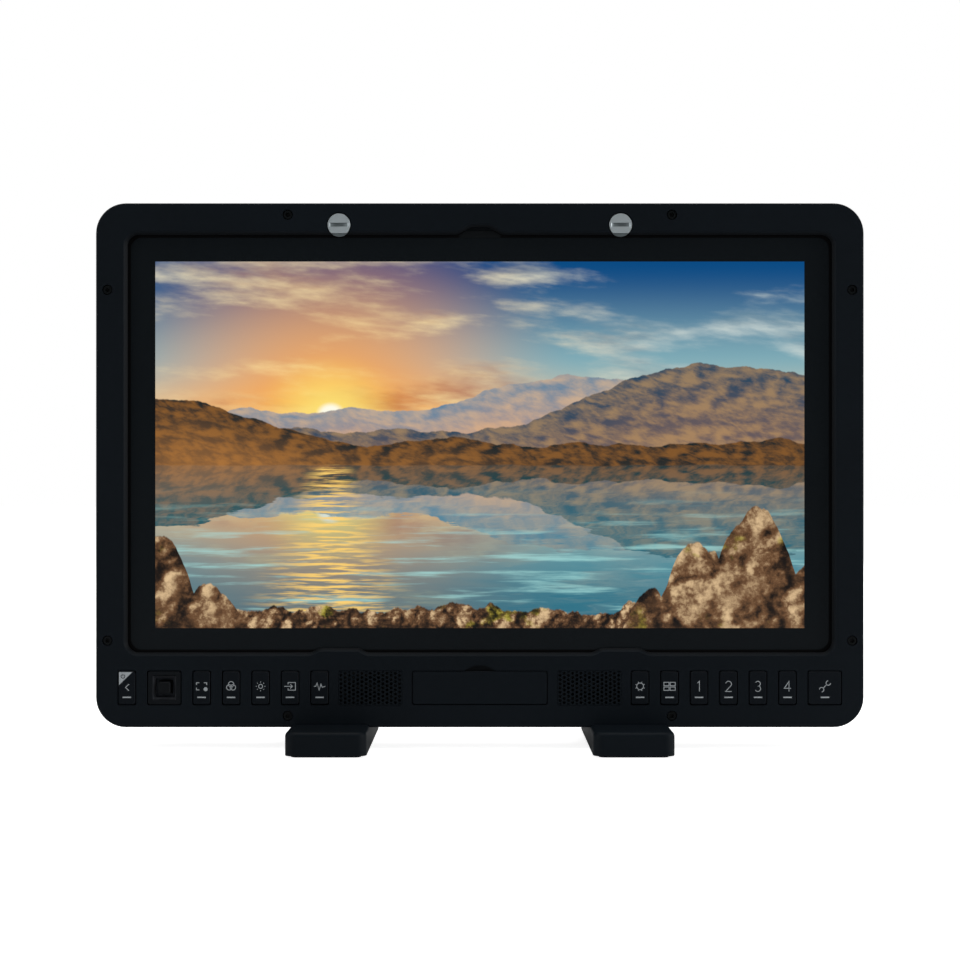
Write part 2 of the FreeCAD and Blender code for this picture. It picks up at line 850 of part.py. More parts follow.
def bent_strip(inner, bend, outer, low, high, thickness, radius, width):
    """A strip bent twice: a tab at the high level, a web at the bend and a tab at the low level.

    It is drawn with its tabs along X and its levels along Y, and is as wide as asked along Z.
    """
    top = block(bend + thickness - inner, thickness, width, (inner + bend + thickness) / 2, high, 0)
    web = block(thickness, high + thickness - low, width, bend + thickness / 2, low, 0)
    foot = block(outer - bend, thickness, width, (outer + bend) / 2, low, 0)
    strip = joined([top, web, foot])
    corners = [(bend + thickness, high + thickness), (bend, low)]
    chosen = []
    for edge in lines_along(strip, z_axis):
        at = edge.CenterOfMass
        for corner_x, corner_y in corners:
            if abs(at.x - corner_x) < tolerance and abs(at.y - corner_y) < tolerance:
                chosen.append(edge)
    return strip.makeFillet(radius, chosen)


bracket_inner_x = backlight_width / 2 - bracket_reach
bracket_bend_x = glass_pocket_width / 2 + bracket_gap
bracket_outer_x = bracket_bend_x + bracket_tab
bracket_screw_x = (bracket_bend_x + bracket_thickness + bracket_outer_x) / 2


def panel_brackets():
    """Four bent brackets that clamp the backlight to the back of the frame."""
    brackets = []
    for side in (-1, 1):
        for level in (-1, 1):
            bracket = bent_strip(bracket_inner_x, bracket_bend_x, bracket_outer_x, split_y, backlight_back_y,
                                 bracket_thickness, bracket_bend, bracket_length)
            hole_depth = bracket_thickness + 2 * overrun
            hole = rod(board_screw_radius + screw_play, hole_depth, bracket_screw_x, split_y - overrun, 0)
            bracket = bracket.cut(hole)
            if side < 0:
                bracket = bracket.mirror(Vector(0, 0, 0), x_axis)
            bracket.translate(Vector(0, 0, window_z + level * bracket_spacing / 2))
            brackets.append(bracket)
    return Part.makeCompound(brackets)


def back_screw(x, y, z):
    """A small pan screw whose head lies behind depth y and whose shank points to the front."""
    head = rod(board_screw_head_radius, board_screw_head, x, y, z)
    shank = rod(board_screw_radius, board_screw_grip, x, y - board_screw_grip, z)
    return joined([head, shank])


def bracket_screws():
    """The screws that hold the panel brackets."""
    screws = []
    for side in (-1, 1):
        for level in (-1, 1):
            screw_z = window_z + level * bracket_spacing / 2
            screws.append(back_screw(side * bracket_screw_x, split_y + bracket_thickness, screw_z))
    return Part.makeCompound(screws)


def lock(side):
    """A half-turn lock: round flange, head with a flat, coin slot and grooved spindle."""
    lock_x = side * lock_spacing / 2
    head_depth = lip_depth - lock_float
    head = rod(lock_radius, head_depth, lock_x, front_y, lock_z)
    head = head.makeChamfer(lock_edge, edges_at_depth(head, front_y))
    step_depth = head_depth - lock_flange
    step_height = lock_radius + overrun - lock_flat
    step_z = lock_z - lock_flat - step_height / 2
    step_width = 2 * (lock_radius + overrun)
    step = block(step_width, step_depth + overrun, step_height, lock_x, front_y - overrun, step_z)
    head = head.cut(step)
    cutter_radius = ((lock_slot_length / 2) ** 2 + lock_slot_depth ** 2) / (2 * lock_slot_depth)
    cutter_y = front_y + lock_slot_depth - cutter_radius
    cutter_z = lock_z - lock_slot_width / 2
    head = head.cut(Part.makeCylinder(cutter_radius, lock_slot_width, Vector(lock_x, cutter_y, cutter_z)))
    tail_y = clip_y + clip_thickness + 2 * lock_float + spindle_tail
    spindle = rod(spindle_radius, tail_y - front_y - head_depth, lock_x, front_y + head_depth, lock_z)
    groove = rod(spindle_radius + overrun, clip_thickness + 2 * lock_float, lock_x, clip_y, lock_z)
    core = rod(spindle_radius - groove_depth, clip_thickness + 2 * lock_float, lock_x, clip_y, lock_z)
    return joined([head, spindle.cut(groove.cut(core))])


def lock_clip(side):
    """The open clip in the groove of a lock spindle."""
    lock_x = side * lock_spacing / 2
    clip = rod(clip_radius, clip_thickness, lock_x, clip_y + lock_float, lock_z)
    bore_radius = spindle_radius - groove_depth + running_play
    bore_depth = clip_thickness + 2 * overrun
    clip = clip.cut(rod(bore_radius, bore_depth, lock_x, clip_y - overrun, lock_z))
    mouth = block(2 * bore_radius, bore_depth, clip_radius + overrun, lock_x, clip_y - overrun,
                  lock_z - (clip_radius + overrun) / 2)
    return clip.cut(mouth)


def key(key_x, width):
    """A flush key cap with its retaining flange and the nub that meets the switch."""
    cap_y = front_y - key_proud
    cap = plate(width, key_height, key_radius, wall_back_y - cap_y, key_x, cap_y, row_z)
    cap = cap.makeChamfer(key_chamfer, edges_at_depth(cap, cap_y))
    flange_width = width + 2 * key_flange
    flange_height = key_height + 2 * key_flange
    flange = plate(flange_width, flange_height, key_radius, key_flange_thickness, key_x, wall_back_y, row_z)
    nub = rod(key_nub_radius, key_nub_length, key_x, key_flange_back_y, row_z)
    return joined([cap, flange, nub])


def key_board(side):
    """The board behind one bank of keys."""
    board_z = key_board_top - key_board_height / 2
    board = block(pocket_width, board_thickness, key_board_height, side * pocket_x, key_board_y, board_z)
    holes = []
    hole_depth = board_thickness + 2 * overrun
    hole_y = key_board_y - overrun
    for post_x in key_post_xs:
        holes.append(rod(board_screw_radius + screw_play, hole_depth, post_x, hole_y, key_post_z))
    return board.cut(holes)


def key_switches():
    """One push switch on the board behind each key."""
    switches = []
    for name, key_x, width in keys:
        body = block(switch_size, switch_body, switch_size, key_x, switch_y + switch_button, row_z)
        switches.append(joined([body, rod(switch_button_radius, switch_button, key_x, switch_y, row_z)]))
    return Part.makeCompound(switches)


def key_board_screws():
    """The screws that hold both key boards to their posts."""
    return Part.makeCompound([back_screw(post_x, key_board_back_y, key_post_z) for post_x in key_post_xs])


def joystick_bezel():
    """The square joystick surround, with a dish that falls to the throat."""
    bezel = plate(wide_key_width, key_height, key_radius, front_wall, stick_x, front_y, row_z)
    flange_width = wide_key_width + 2 * key_flange
    flange_height = key_height + 2 * key_flange
    flange = plate(flange_width, flange_height, key_radius, key_flange_thickness, stick_x, wall_back_y, row_z)
    bezel = joined([bezel, flange])
    levels = []
    for width, height, y in ((stick_mouth_width, stick_mouth_height, front_y),
                             (stick_throat, stick_throat, front_y + stick_mouth_depth)):
        left = stick_x - width / 2
        right = stick_x + width / 2
        low = row_z - height / 2
        high = row_z + height / 2
        corners = [Vector(left, y, low), Vector(right, y, low), Vector(right, y, high), Vector(left, y, high)]
        levels.append(Part.makePolygon(corners + corners[:1]))
    dish = Part.makeLoft(levels, True, True)
    throat_depth = front_wall + key_flange_thickness + overrun
    throat = block(stick_throat, throat_depth, stick_throat, stick_x, front_y, row_z)
    return bezel.cut([dish, throat])


def joystick_base():
    """The joystick's foot on the key board, with an ear on each side for the rocker's pins."""
    inner = stick_ring / 2 + stick_room
    reach = 2 * (inner + stick_ear)
    base = block(reach, stick_base_thickness, reach, stick_x, stick_base_y, row_z)
    ear_y = stick_pivot_y - stick_ear_rise
    solids = [base]
    for side in (-1, 1):
        ear_x = stick_x + side * (inner + stick_ear / 2)
        solids.append(block(stick_ear, stick_base_y - ear_y, stick_ear_width, ear_x, ear_y, row_z))
    base = joined(solids)
    hole_start = Vector(stick_x - reach, stick_pivot_y, row_z)
    return base.cut(Part.makeCylinder(stick_pin_radius + running_play, 2 * reach, hole_start, x_axis))


def joystick_rocker():
    """The ring that tips up and down on two pins, and carries the stem's pins."""
    ring_y = stick_pivot_y - stick_ring_thickness / 2
    ring = block(stick_ring, stick_ring_thickness, stick_ring, stick_x, ring_y, row_z)
    hole = stick_ring - 2 * stick_ring_wall
    ring = ring.cut(block(hole, stick_ring_thickness + 2 * overrun, hole, stick_x, ring_y - overrun, row_z))
    pin_length = stick_ring_wall + stick_room + stick_ear
    pins = []
    for side in (-1, 1):
        pin_start = stick_x + side * (stick_ring / 2 - stick_ring_wall)
        pins.append(Part.makeCylinder(stick_pin_radius, pin_length, Vector(pin_start, stick_pivot_y, row_z),
                                      Vector(side, 0, 0)))
    ring = joined([ring] + pins)
    bore_start = Vector(stick_x, stick_pivot_y, row_z - stick_ring)
    return ring.cut(Part.makeCylinder(stick_pin_radius + running_play, 2 * stick_ring, bore_start))


def joystick_stem():
    """The stem that tips left and right in the rocker, with the post that the cap slides on."""
    size = stick_ring - 2 * stick_ring_wall - 2 * stick_block_gap
    block_y = stick_pivot_y - stick_ring_thickness / 2
    core = block(size, stick_ring_thickness, size, stick_x, block_y, row_z)
    pin_start = Vector(stick_x, stick_pivot_y, row_z - stick_ring / 2)
    pins = Part.makeCylinder(stick_pin_radius, stick_ring, pin_start)
    post = rod(stick_post_radius, block_y - stick_post_y, stick_x, stick_post_y, row_z)
    return joined([core, pins, post])


def joystick_cap():
    """The square cap that is tipped by the thumb and pressed in, with the skirt under the dish."""
    skirt_back_y = stick_skirt_y + stick_skirt_thickness
    cap_depth = skirt_back_y - stick_front_y
    cap = plate(stick_cap, stick_cap, stick_cap_radius, cap_depth, stick_x, stick_front_y, row_z)
    cap = cap.makeChamfer(stick_cap_radius / 2, edges_at_depth(cap, stick_front_y))
    skirt = plate(stick_skirt, stick_skirt, stick_cap_radius, stick_skirt_thickness,
                  stick_x, stick_skirt_y, row_z)
    cap = joined([cap, skirt])
    bore_y = stick_front_y + stick_cap_crown
    bore_depth = skirt_back_y + overrun - bore_y
    return cap.cut(rod(stick_post_radius + running_play, bore_depth, stick_x, bore_y, row_z))


def grille_hole(x, lift, trim):
    """The outline of a hole at a lift over the row, cut off level where the rim of the grille begins."""
    points = []
    for corner in range(grille_hole_sides + 1):
        turn = 2 * math.pi * corner / grille_hole_sides
        rise = lift + grille_hole_radius * math.sin(turn)
        level = row_z + max(-trim, min(trim, rise))
        points.append(Vector(x + grille_hole_radius * math.cos(turn), front_y, level))
    return Part.makePolygon(points)


def speaker_grille(side):
    """A thin plate with staggered columns of holes in front of a speaker.

    Every other column has one hole more, so that its first and last holes are cut off by the rim.
    """
    x = side * grille_x
    trim = grille_height / 2 - grille_rim
    columns = int((grille_width - 2 * (grille_rim + grille_hole_radius)) / grille_pitch) + 1
    rows = int((grille_height - 2 * (grille_rim + grille_hole_radius)) / grille_pitch) + 1
    outline = plate(grille_width, grille_height, grille_radius, grille_thickness, x, front_y, row_z)
    front = [face for face in outline.Faces if abs(face.BoundBox.YMax - front_y) < tolerance][0]
    wires = [front.OuterWire]
    for column in range(columns):
        hole_x = x + (column - (columns - 1) / 2) * grille_pitch
        count = rows + 1 - column % 2
        for row in range(count):
            lift = (row - (count - 1) / 2) * grille_pitch
            wires.append(grille_hole(hole_x, lift, trim))
    sheet = Part.makeFace(wires, "Part::FaceMakerBullseye")
    return sheet.extrude(Vector(0, grille_thickness, 0))


def speaker_driver(side):
    """A shallow speaker: mounting flange, basket with a sunk cone, and magnet."""
    x = side * grille_x
    flange = block(speaker_width, speaker_flange, speaker_height, x, wall_back_y, row_z)
    basket_y = wall_back_y + speaker_flange
    basket_width = speaker_width - 2 * speaker_basket_inset
    basket_height = speaker_height - 2 * speaker_basket_inset
    basket = plate(basket_width, basket_height, speaker_basket_radius, speaker_basket, x, basket_y, row_z)
    magnet = rod(speaker_magnet_radius, speaker_magnet, x, basket_y + speaker_basket, row_z)
    driver = joined([flange, basket, magnet])
    cone_inset = speaker_basket_inset + speaker_cone_inset
    cone_width = speaker_width - 2 * cone_inset
    cone_height = speaker_height - 2 * cone_inset
    cone = Part.makeCone(cone_height / 2, speaker_magnet_radius / 2, speaker_cone_depth,
                         Vector(x, wall_back_y, row_z), y_axis)
    stretch = FreeCAD.Matrix()
    stretch.scale(cone_width / cone_height, 1, 1)
    cone.translate(Vector(-x, 0, 0))
    cone = cone.transformGeometry(stretch)
    cone.translate(Vector(x, 0, 0))
    return driver.cut(cone)


def center_plate():
    """The plain plate that lifts out of the control row."""
    cover = plate(plate_width, key_height, plate_radius, plate_thickness, 0, front_y, row_z)
    return cover.makeChamfer(plate_chamfer, edges_at_depth(cover, front_y))


def plate_magnets():
    """The two magnets in the seat of the lift-out plate."""
    return Part.makeCompound([magnet(side) for side in (-1, 1)])


def main_board():
    """The main board, with the processor on its back."""
    board = block(main_board_width, board_thickness, main_board_height, 0, main_board_y, main_board_z)
    processor = block(processor_size, processor_height, processor_size, 0, main_board_back_y, body_z)
    return board_with_holes(joined([board, processor]))


def driver_board():
    """The backlight driver board, with two coils."""
    board = block(driver_board_width, board_thickness, driver_board_height,
                  driver_board_x, main_board_y, driver_board_z)
    solids = [board]
    for level in (-1, 1):
        coil_z = driver_board_z + level * coil_spacing / 2
        solids.append(block(coil_size, coil_height, coil_size, driver_board_x, main_board_back_y, coil_z))
    return board_with_holes(joined(solids))


def board_with_holes(board):
    """A board with a clear hole at each housing post."""
    holes = []
    for post_x, post_z in post_places:
        hole_depth = board_thickness + 2 * overrun
        holes.append(rod(board_screw_radius + screw_play, hole_depth, post_x, main_board_y - overrun, post_z))
    return board.cut(holes)


def board_screws():
    """The screws that hold the boards to the housing posts, heads to the front."""
    screws = []
    for post_x, post_z in post_places:
        head = rod(board_screw_head_radius, board_screw_head, post_x, main_board_y - board_screw_head, post_z)
        shank = rod(board_screw_radius, board_thickness + board_screw_grip, post_x, main_board_y, post_z)
        screws.append(joined([head, shank]))
    return Part.makeCompound(screws)


def heat_sink():
    """The finned heat sink on the processor."""
    base_y = main_board_back_y + processor_height
    fin_depth = post_length - processor_height - heat_sink_clearance
    solids = [block(heat_sink_width, heat_sink_base, heat_sink_height, 0, base_y, body_z)]
    fins = int((heat_sink_width - fin_thickness) / fin_pitch) + 1
    for fin in range(fins):
        fin_x = (fin - (fins - 1) / 2) * fin_pitch
        solids.append(block(fin_thickness, fin_depth, heat_sink_height, fin_x, base_y, body_z))
    return joined(solids)


def fan_screw_places():
    """Corners of the fan's screw pattern."""
    return [(fan_x + side * fan_screw_span / 2, fan_z + level * fan_screw_span / 2)
            for side in (-1, 1) for level in (-1, 1)]


def fan_frame():
    """The square fan frame, with the motor plate, its struts and the bearing pin."""
    frame = plate(fan_size, fan_size, fan_radius, fan_depth, fan_x, fan_y, fan_z)
    through = fan_depth + 2 * overrun
    cuts = [rod(fan_bore_radius, through, fan_x, fan_y - overrun, fan_z)]
    for screw_x, screw_z in fan_screw_places():
        cuts.append(rod(fan_screw_radius + screw_play, through, screw_x, fan_y - overrun, screw_z))
    solids = [frame.cut(cuts), rod(fan_plate_radius, fan_plate, fan_x, fan_y, fan_z)]
    strut_length = fan_bore_radius + (fan_size / 2 - fan_bore_radius) / 2
    for strut in range(fan_strut_count):
        arm = block(strut_length, fan_plate, fan_strut, fan_x + strut_length / 2, fan_y, fan_z)
        arm.rotate(Vector(fan_x, 0, fan_z), y_axis, full_turn * strut / fan_strut_count)
        solids.append(arm)
    pin_length = fan_bore_end_y - fan_pin_room - fan_y
    solids.append(rod(fan_pin_radius, pin_length, fan_x, fan_y, fan_z))
    return joined(solids)


def fan_rotor():
    """The rotor: a hub on the bearing pin, with leaning blades."""
    start_y = fan_y + fan_plate + fan_end_room
    hub_depth = fan_depth - fan_plate - 2 * fan_end_room
    hub = rod(fan_hub_radius, hub_depth, fan_x, start_y, fan_z)
    bore_depth = fan_bore_end_y - start_y
    blade_y = start_y + fan_end_room / 2
    blade_depth = hub_depth - fan_end_room
    root = fan_hub_radius - fan_blade_thickness
    tip = fan_bore_radius - fan_blade_room
    half = fan_blade_thickness / 2
    points = [
        Vector(root, blade_y, -fan_blade_lean / 2 - half),
        Vector(root, blade_y, -fan_blade_lean / 2 + half),
        Vector(root, blade_y + blade_depth, fan_blade_lean / 2 + half),
        Vector(root, blade_y + blade_depth, fan_blade_lean / 2 - half),
    ]
    profile = Part.Face(Part.makePolygon(points + points[:1]))
    blade = profile.extrude(Vector(fan_bore_radius - root, 0, 0)).common(rod(tip, fan_depth, 0, fan_y, 0))
    solids = [hub]
    for place in range(fan_blade_count):
        copy = blade.copy()
        copy.rotate(Vector(0, 0, 0), y_axis, full_turn * place / fan_blade_count)
        copy.translate(Vector(fan_x, 0, fan_z))
        solids.append(copy)
    rotor = joined(solids)
    return rotor.cut(rod(fan_pin_radius + running_play, bore_depth, fan_x, start_y, fan_z))


def fan_screws():
    """The four screws that hold the fan to the back wall, heads outside."""
    screws = []
    head_y = back_y - fan_screw_sink - fan_screw_head
    for screw_x, screw_z in fan_screw_places():
        head = rod(fan_screw_head_radius, fan_screw_head, screw_x, head_y, screw_z)
        shank_y = back_inner_y - fan_screw_grip
        shank = rod(fan_screw_radius, head_y - shank_y, screw_x, shank_y, screw_z)
        socket_y = back_y - fan_screw_sink - fan_screw_socket_depth
        socket = hex_socket(fan_screw_socket, fan_screw_socket_depth + overrun, screw_x, socket_y, screw_z)
        screws.append(joined([head, shank]).cut(socket))
    return Part.makeCompound(screws)


def connector_plate():
    """The plate in the back that the sockets show through."""
    cover = plate(socket_plate_width, socket_plate_height, socket_plate_radius, socket_plate_thickness,
                  0, socket_plate_y, socket_z)
    depth = socket_plate_thickness + 2 * overrun
    start_y = socket_plate_y - overrun
    holes = []
    for x in socket_places["video"]:
        holes.append(rod(video_radius + video_lug_reach + socket_hole_play, depth, x, start_y, socket_z))
    for kind, width, height in (("link", link_width, link_height), ("data", data_width, data_height)):
        hole_width = width + 2 * socket_hole_play
        hole_height = height + 2 * socket_hole_play
        for x in socket_places[kind]:
            holes.append(block(hole_width, depth, hole_height, x, start_y, socket_z))
    for x in socket_places["phones"]:
        holes.append(rod(phones_radius + socket_hole_play, depth, x, start_y, socket_z))
    for x in socket_places["power"]:
        holes.append(rod(power_radius + socket_hole_play, depth, x, start_y, socket_z))
    return cover.cut(holes)


def socket_body(size, x):
    """The square body of a socket, between the main board and the connector plate."""
    return block(size, socket_plate_y - main_board_back_y, size, x, main_board_back_y, socket_z)


def video_sockets():
    """The bayonet video sockets: square body on the board, barrel with two lugs, core and contact."""
    sockets = []
    end_y = back_y + video_reach
    for x in socket_places["video"]:
        body = socket_body(video_body, x)
        barrel = rod(video_radius, end_y - socket_plate_y, x, socket_plate_y, socket_z)
        lug_length = 2 * (video_radius + video_lug_reach)
        lug_start = Vector(x, end_y - video_lug_drop, socket_z - lug_length / 2)
        lugs = Part.makeCylinder(video_lug_radius, lug_length, lug_start)
        jack = joined([body, barrel, lugs])
        bore_y = end_y - video_bore_depth
        jack = jack.cut(rod(video_bore_radius, video_bore_depth + overrun, x, bore_y, socket_z))
        core_depth = video_bore_depth - video_core_drop
        core = rod(video_core_radius, core_depth, x, bore_y, socket_z)
        core = core.cut(rod(video_contact_radius, core_depth, x, bore_y + video_core_drop, socket_z))
        sockets.append(joined([jack, core]))
    return Part.makeCompound(sockets)


def shell_socket(width, height, wall, depth, tongue, inset, x):
    """A flat metal socket with a tongue inside, standing on the main board."""
    end_y = back_y - socket_plate_sink
    body = block(width, end_y - main_board_back_y, height, x, main_board_back_y, socket_z)
    hollow = block(width - 2 * wall, depth + overrun, height - 2 * wall, x, end_y - depth, socket_z)
    tongue_width = width - 2 * wall - 2 * inset
    blade = block(tongue_width, depth - wall, tongue, x, end_y - depth, socket_z)
    return joined([body.cut(hollow), blade])


def link_sockets():
    """The two flat digital video sockets."""
    return Part.makeCompound([shell_socket(link_width, link_height, link_wall, link_depth, link_tongue,
                                           link_tongue_inset, x) for x in socket_places["link"]])


def data_socket():
    """The flat data socket."""
    return shell_socket(data_width, data_height, data_wall, link_depth, data_tongue, data_tongue_inset,
                        socket_places["data"][0])


def phones_socket():
    """The round headphone socket."""
    x = socket_places["phones"][0]
    end_y = socket_plate_y + socket_plate_thickness + phones_reach
    body = socket_body(phones_width, x)
    nose = rod(phones_radius, end_y - socket_plate_y, x, socket_plate_y, socket_z)
    bore = rod(phones_bore_radius, phones_depth + overrun, x, end_y - phones_depth, socket_z)
    return joined([body, nose]).cut(bore)


def power_socket():
    """The round power socket with two pins."""
    x = socket_places["power"][0]
    end_y = socket_plate_y + socket_plate_thickness + power_reach
    body = socket_body(power_width, x)
    nose = rod(power_radius, end_y - socket_plate_y, x, socket_plate_y, socket_z)
    bore = rod(power_bore_radius, power_depth + overrun, x, end_y - power_depth, socket_z)
    shell = joined([body, nose]).cut(bore)
    pins = []
    for side in (-1, 1):
        pin_x = x + side * power_pin_spacing / 2
        pins.append(rod(power_pin_radius, power_depth - power_pin_drop, pin_x, end_y - power_depth, socket_z))
    return joined([shell] + pins)


def upright_cable(width, x, low_z, rise, tab, low_y, high_y):
    """A flat cable that leaves a board at low_y, runs back and lands on a board at high_y, a rise higher."""
    strip = bent_strip(-tab, 0, rise, low_y, high_y - cable_thickness, cable_thickness, cable_bend / 2, width)
    strip.rotate(Vector(0, 0, 0), y_axis, right_angle)
    strip.translate(Vector(x, 0, low_z))
    return strip


def display_cable():
    """The wide flat cable from the main board to the panel."""
    low_z = body_z + display_cable_drop
    return upright_cable(display_cable_width, 0, low_z, display_cable_rise, display_cable_tab,
                         backlight_back_y, main_board_y)


def key_cables():
    """The two flat cables from the main board to the key boards."""
    cables = []
    x = (main_board_width / 2 + pocket_inner_x) / 2
    low_z = key_board_top - key_cable_inset - key_cable_tab
    for side in (-1, 1):
        cables.append(upright_cable(key_cable_width, side * x, low_z, key_cable_rise, key_cable_tab,
                                    key_board_back_y, main_board_y))
    return Part.makeCompound(cables)


def foot(side):
    """A foot slab with rounded ends, a seat across it for the monitor and pockets for its pads."""
    x = side * foot_spacing / 2
    height = foot_seat + foot_lip - foot_base_z
    corner = Vector(x - foot_width / 2, -foot_length / 2, foot_base_z)
    slab = Part.makeBox(foot_width, foot_length, height, corner)
    slab = slab.makeFillet(foot_radius, lines_along(slab, z_axis))
    slab = slab.makeFillet(foot_top_radius, edges_at_height(slab, foot_base_z + height))
    seat_depth = frame_depth + housing_depth + 2 * foot_gap
    seat_z = foot_seat + (foot_lip + overrun) / 2
    cuts = [block(foot_width + 2 * overrun, seat_depth, foot_lip + overrun, x, front_y - foot_gap, seat_z)]
    for end in (-1, 1):
        cuts.append(pad(x, end, foot_base_z + pad_sunk))
    hole = Vector(x, foot_screw_y, foot_base_z - overrun)
    cuts.append(Part.makeCylinder(foot_screw_radius + screw_play, height + 2 * overrun, hole))
    sink = foot_screw_head + foot_screw_sink
    cuts.append(Part.makeCylinder(foot_screw_head_radius + panel_play, overrun + sink, hole))
    return slab.cut(cuts)


def pad(x, end, top):
    """A flat pad under one end of a foot, from the table up to a height."""
    width = foot_width - 2 * pad_inset
    outer_y = foot_length / 2 - pad_inset
    low_y = outer_y - pad_length if end > 0 else -outer_y
    slab = Part.makeBox(width, pad_length, top, Vector(x - width / 2, low_y, 0))
    return slab.makeFillet(pad_radius, lines_along(slab, z_axis))


def foot_pads():
    """The four pads that the monitor stands on."""
    pads = []
    for side in (-1, 1):
        for end in (-1, 1):
            pads.append(pad(side * foot_spacing / 2, end, foot_base_z + pad_sunk))
    return Part.makeCompound(pads)


def foot_screws():
    """The screws that hold the feet to the housing from below."""
    screws = []
    for side in (-1, 1):
        base = Vector(side * foot_spacing / 2, foot_screw_y, foot_base_z + foot_screw_sink)
        head = Part.makeCylinder(foot_screw_head_radius, foot_screw_head, base)
        length = body_bottom + foot_screw_grip - base.z
        screw = joined([head, Part.makeCylinder(foot_screw_radius, length, base)])
        socket = hex_socket(foot_screw_socket, foot_screw_socket_depth, 0, 0, 0)
        socket.rotate(Vector(0, 0, 0), x_axis, right_angle)
        socket.translate(base)
        screws.append(screw.cut(socket))
    return Part.makeCompound(screws)


pieces = {
    "front_frame": front_frame(),
    "rear_housing": rear_housing(),
    "frame_screws": frame_screws(),
    "glass_gasket": glass_gasket(),
    "cover_glass": cover_glass(),
    "picture_panel": picture_panel(),
    "backlight_unit": backlight_unit(),
    "panel_brackets": panel_brackets(),
    "bracket_screws": bracket_screws(),
    "lock_left": lock(-1),
    "lock_right": lock(1),
    "lock_clip_left": lock_clip(-1),
    "lock_clip_right": lock_clip(1),
    "key_board_left": key_board(-1),
    "key_board_right": key_board(1),
    "key_switches": key_switches(),
    "key_board_screws": key_board_screws(),
    "joystick_bezel": joystick_bezel(),
    "joystick_base": joystick_base(),
    "joystick_rocker": joystick_rocker(),
    "joystick_stem": joystick_stem(),
    "joystick_cap": joystick_cap(),
    "speaker_grille_left": speaker_grille(-1),
    "speaker_grille_right": speaker_grille(1),
    "speaker_driver_left": speaker_driver(-1),
    "speaker_driver_right": speaker_driver(1),
    "center_plate": center_plate(),
    "plate_magnets": plate_magnets(),
    "main_board": main_board(),
    "driver_board": driver_board(),
    "board_screws": board_screws(),
    "heat_sink": heat_sink(),
    "fan_frame": fan_frame(),
    "fan_rotor": fan_rotor(),
    "fan_screws": fan_screws(),
    "connector_plate": connector_plate(),
    "video_sockets": video_sockets(),
    "link_sockets": link_sockets(),
    "data_socket": data_socket(),
    "phones_socket": phones_socket(),
    "power_socket": power_socket(),
    "display_cable": display_cable(),
    "key_cables": key_cables(),
    "foot_left": foot(-1),
    "foot_right": foot(1),
    "foot_pads": foot_pads(),
    "foot_screws": foot_screws(),
}
for name, key_x, width in keys:
    pieces[name] = key(key_x, width)

os.makedirs("parts", exist_ok=True)
for name, shape in pieces.items():
    shape.exportStep("parts/" + name + ".step")
print(len(pieces), "nodes,", sum(len(shape.Solids) for shape in pieces.values()), "solids")
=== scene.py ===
# %% [markdown]
# # A production monitor, dressed in Blender
# The packed model already holds every solid of the monitor at its real size and place, in metres.
# This lesson adds what a solid can't say: the finish of each surface, the lit picture, the printed
# signs on the keys and the threads in the mounting holes. The solids could be modelled again as finer
# meshes, but then two models would have to agree. So they stay as they are and only get materials.

# %% Load the packed model
import json
import math

import bpy
import numpy as np
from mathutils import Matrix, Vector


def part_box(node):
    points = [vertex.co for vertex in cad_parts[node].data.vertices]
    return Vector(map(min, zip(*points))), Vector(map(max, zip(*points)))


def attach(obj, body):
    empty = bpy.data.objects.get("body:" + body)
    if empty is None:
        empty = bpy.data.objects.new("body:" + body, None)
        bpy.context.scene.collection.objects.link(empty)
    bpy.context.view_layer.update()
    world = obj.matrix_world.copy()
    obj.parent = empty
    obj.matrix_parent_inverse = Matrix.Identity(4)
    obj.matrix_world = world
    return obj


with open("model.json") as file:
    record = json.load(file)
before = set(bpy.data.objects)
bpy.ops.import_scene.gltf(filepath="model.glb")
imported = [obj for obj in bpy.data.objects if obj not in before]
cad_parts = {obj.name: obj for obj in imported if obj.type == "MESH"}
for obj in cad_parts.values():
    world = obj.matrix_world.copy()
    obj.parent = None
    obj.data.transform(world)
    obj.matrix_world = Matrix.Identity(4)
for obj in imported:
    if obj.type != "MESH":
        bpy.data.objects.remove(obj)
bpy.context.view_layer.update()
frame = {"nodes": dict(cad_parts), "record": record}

mm = 0.001
scene = bpy.context.scene
record = frame["record"]

# %% [markdown]
# ## The camera
# The photograph looks straight at the front with a long lens, a little below the middle of the screen.
# A camera can be pushed about until the outlines agree, but each try changes several things at once.
# Here it is worked out: the way the feet shrink towards the back gives the distance, and the row where
# they would vanish gives the height of the lens. A small shift keeps the monitor where it stands in the
# square picture.

# %% Camera
frame_low, frame_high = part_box("front_frame")
lens_distance = 770.0 * mm
lens_height = 112.0 * mm
focal_pixels = 1714.6
picture_pixels = 960.0
horizon_row = 500.3
middle_column = 479.83
camera_data = bpy.data.cameras.new("camera")
camera_data.lens = focal_pixels / picture_pixels * camera_data.sensor_width
camera_data.shift_x = (picture_pixels / 2 - middle_column) / picture_pixels
camera_data.shift_y = (horizon_row - picture_pixels / 2) / picture_pixels
camera = bpy.data.objects.new("camera", camera_data)
camera.location = (0.0, frame_low.y - lens_distance, lens_height)
camera.rotation_euler = (math.pi / 2, 0.0, 0.0)
scene.collection.objects.link(camera)
scene.camera = camera
scene.view_settings.view_transform = "Standard"
print("lens", round(camera_data.lens, 2), "mm, shift", round(camera_data.shift_y, 4))

# %% [markdown]
# ## Wires: shader formulas written as sums
# A finish is a formula: grain here, a gradient there. Blender draws formulas as nodes and links, which are
# slow to write one by one and hard to read afterwards. A `Wire` stands for the value on a link, and adding
# or multiplying wires adds the Math node that does it, so that a finish reads like the formula that it is.

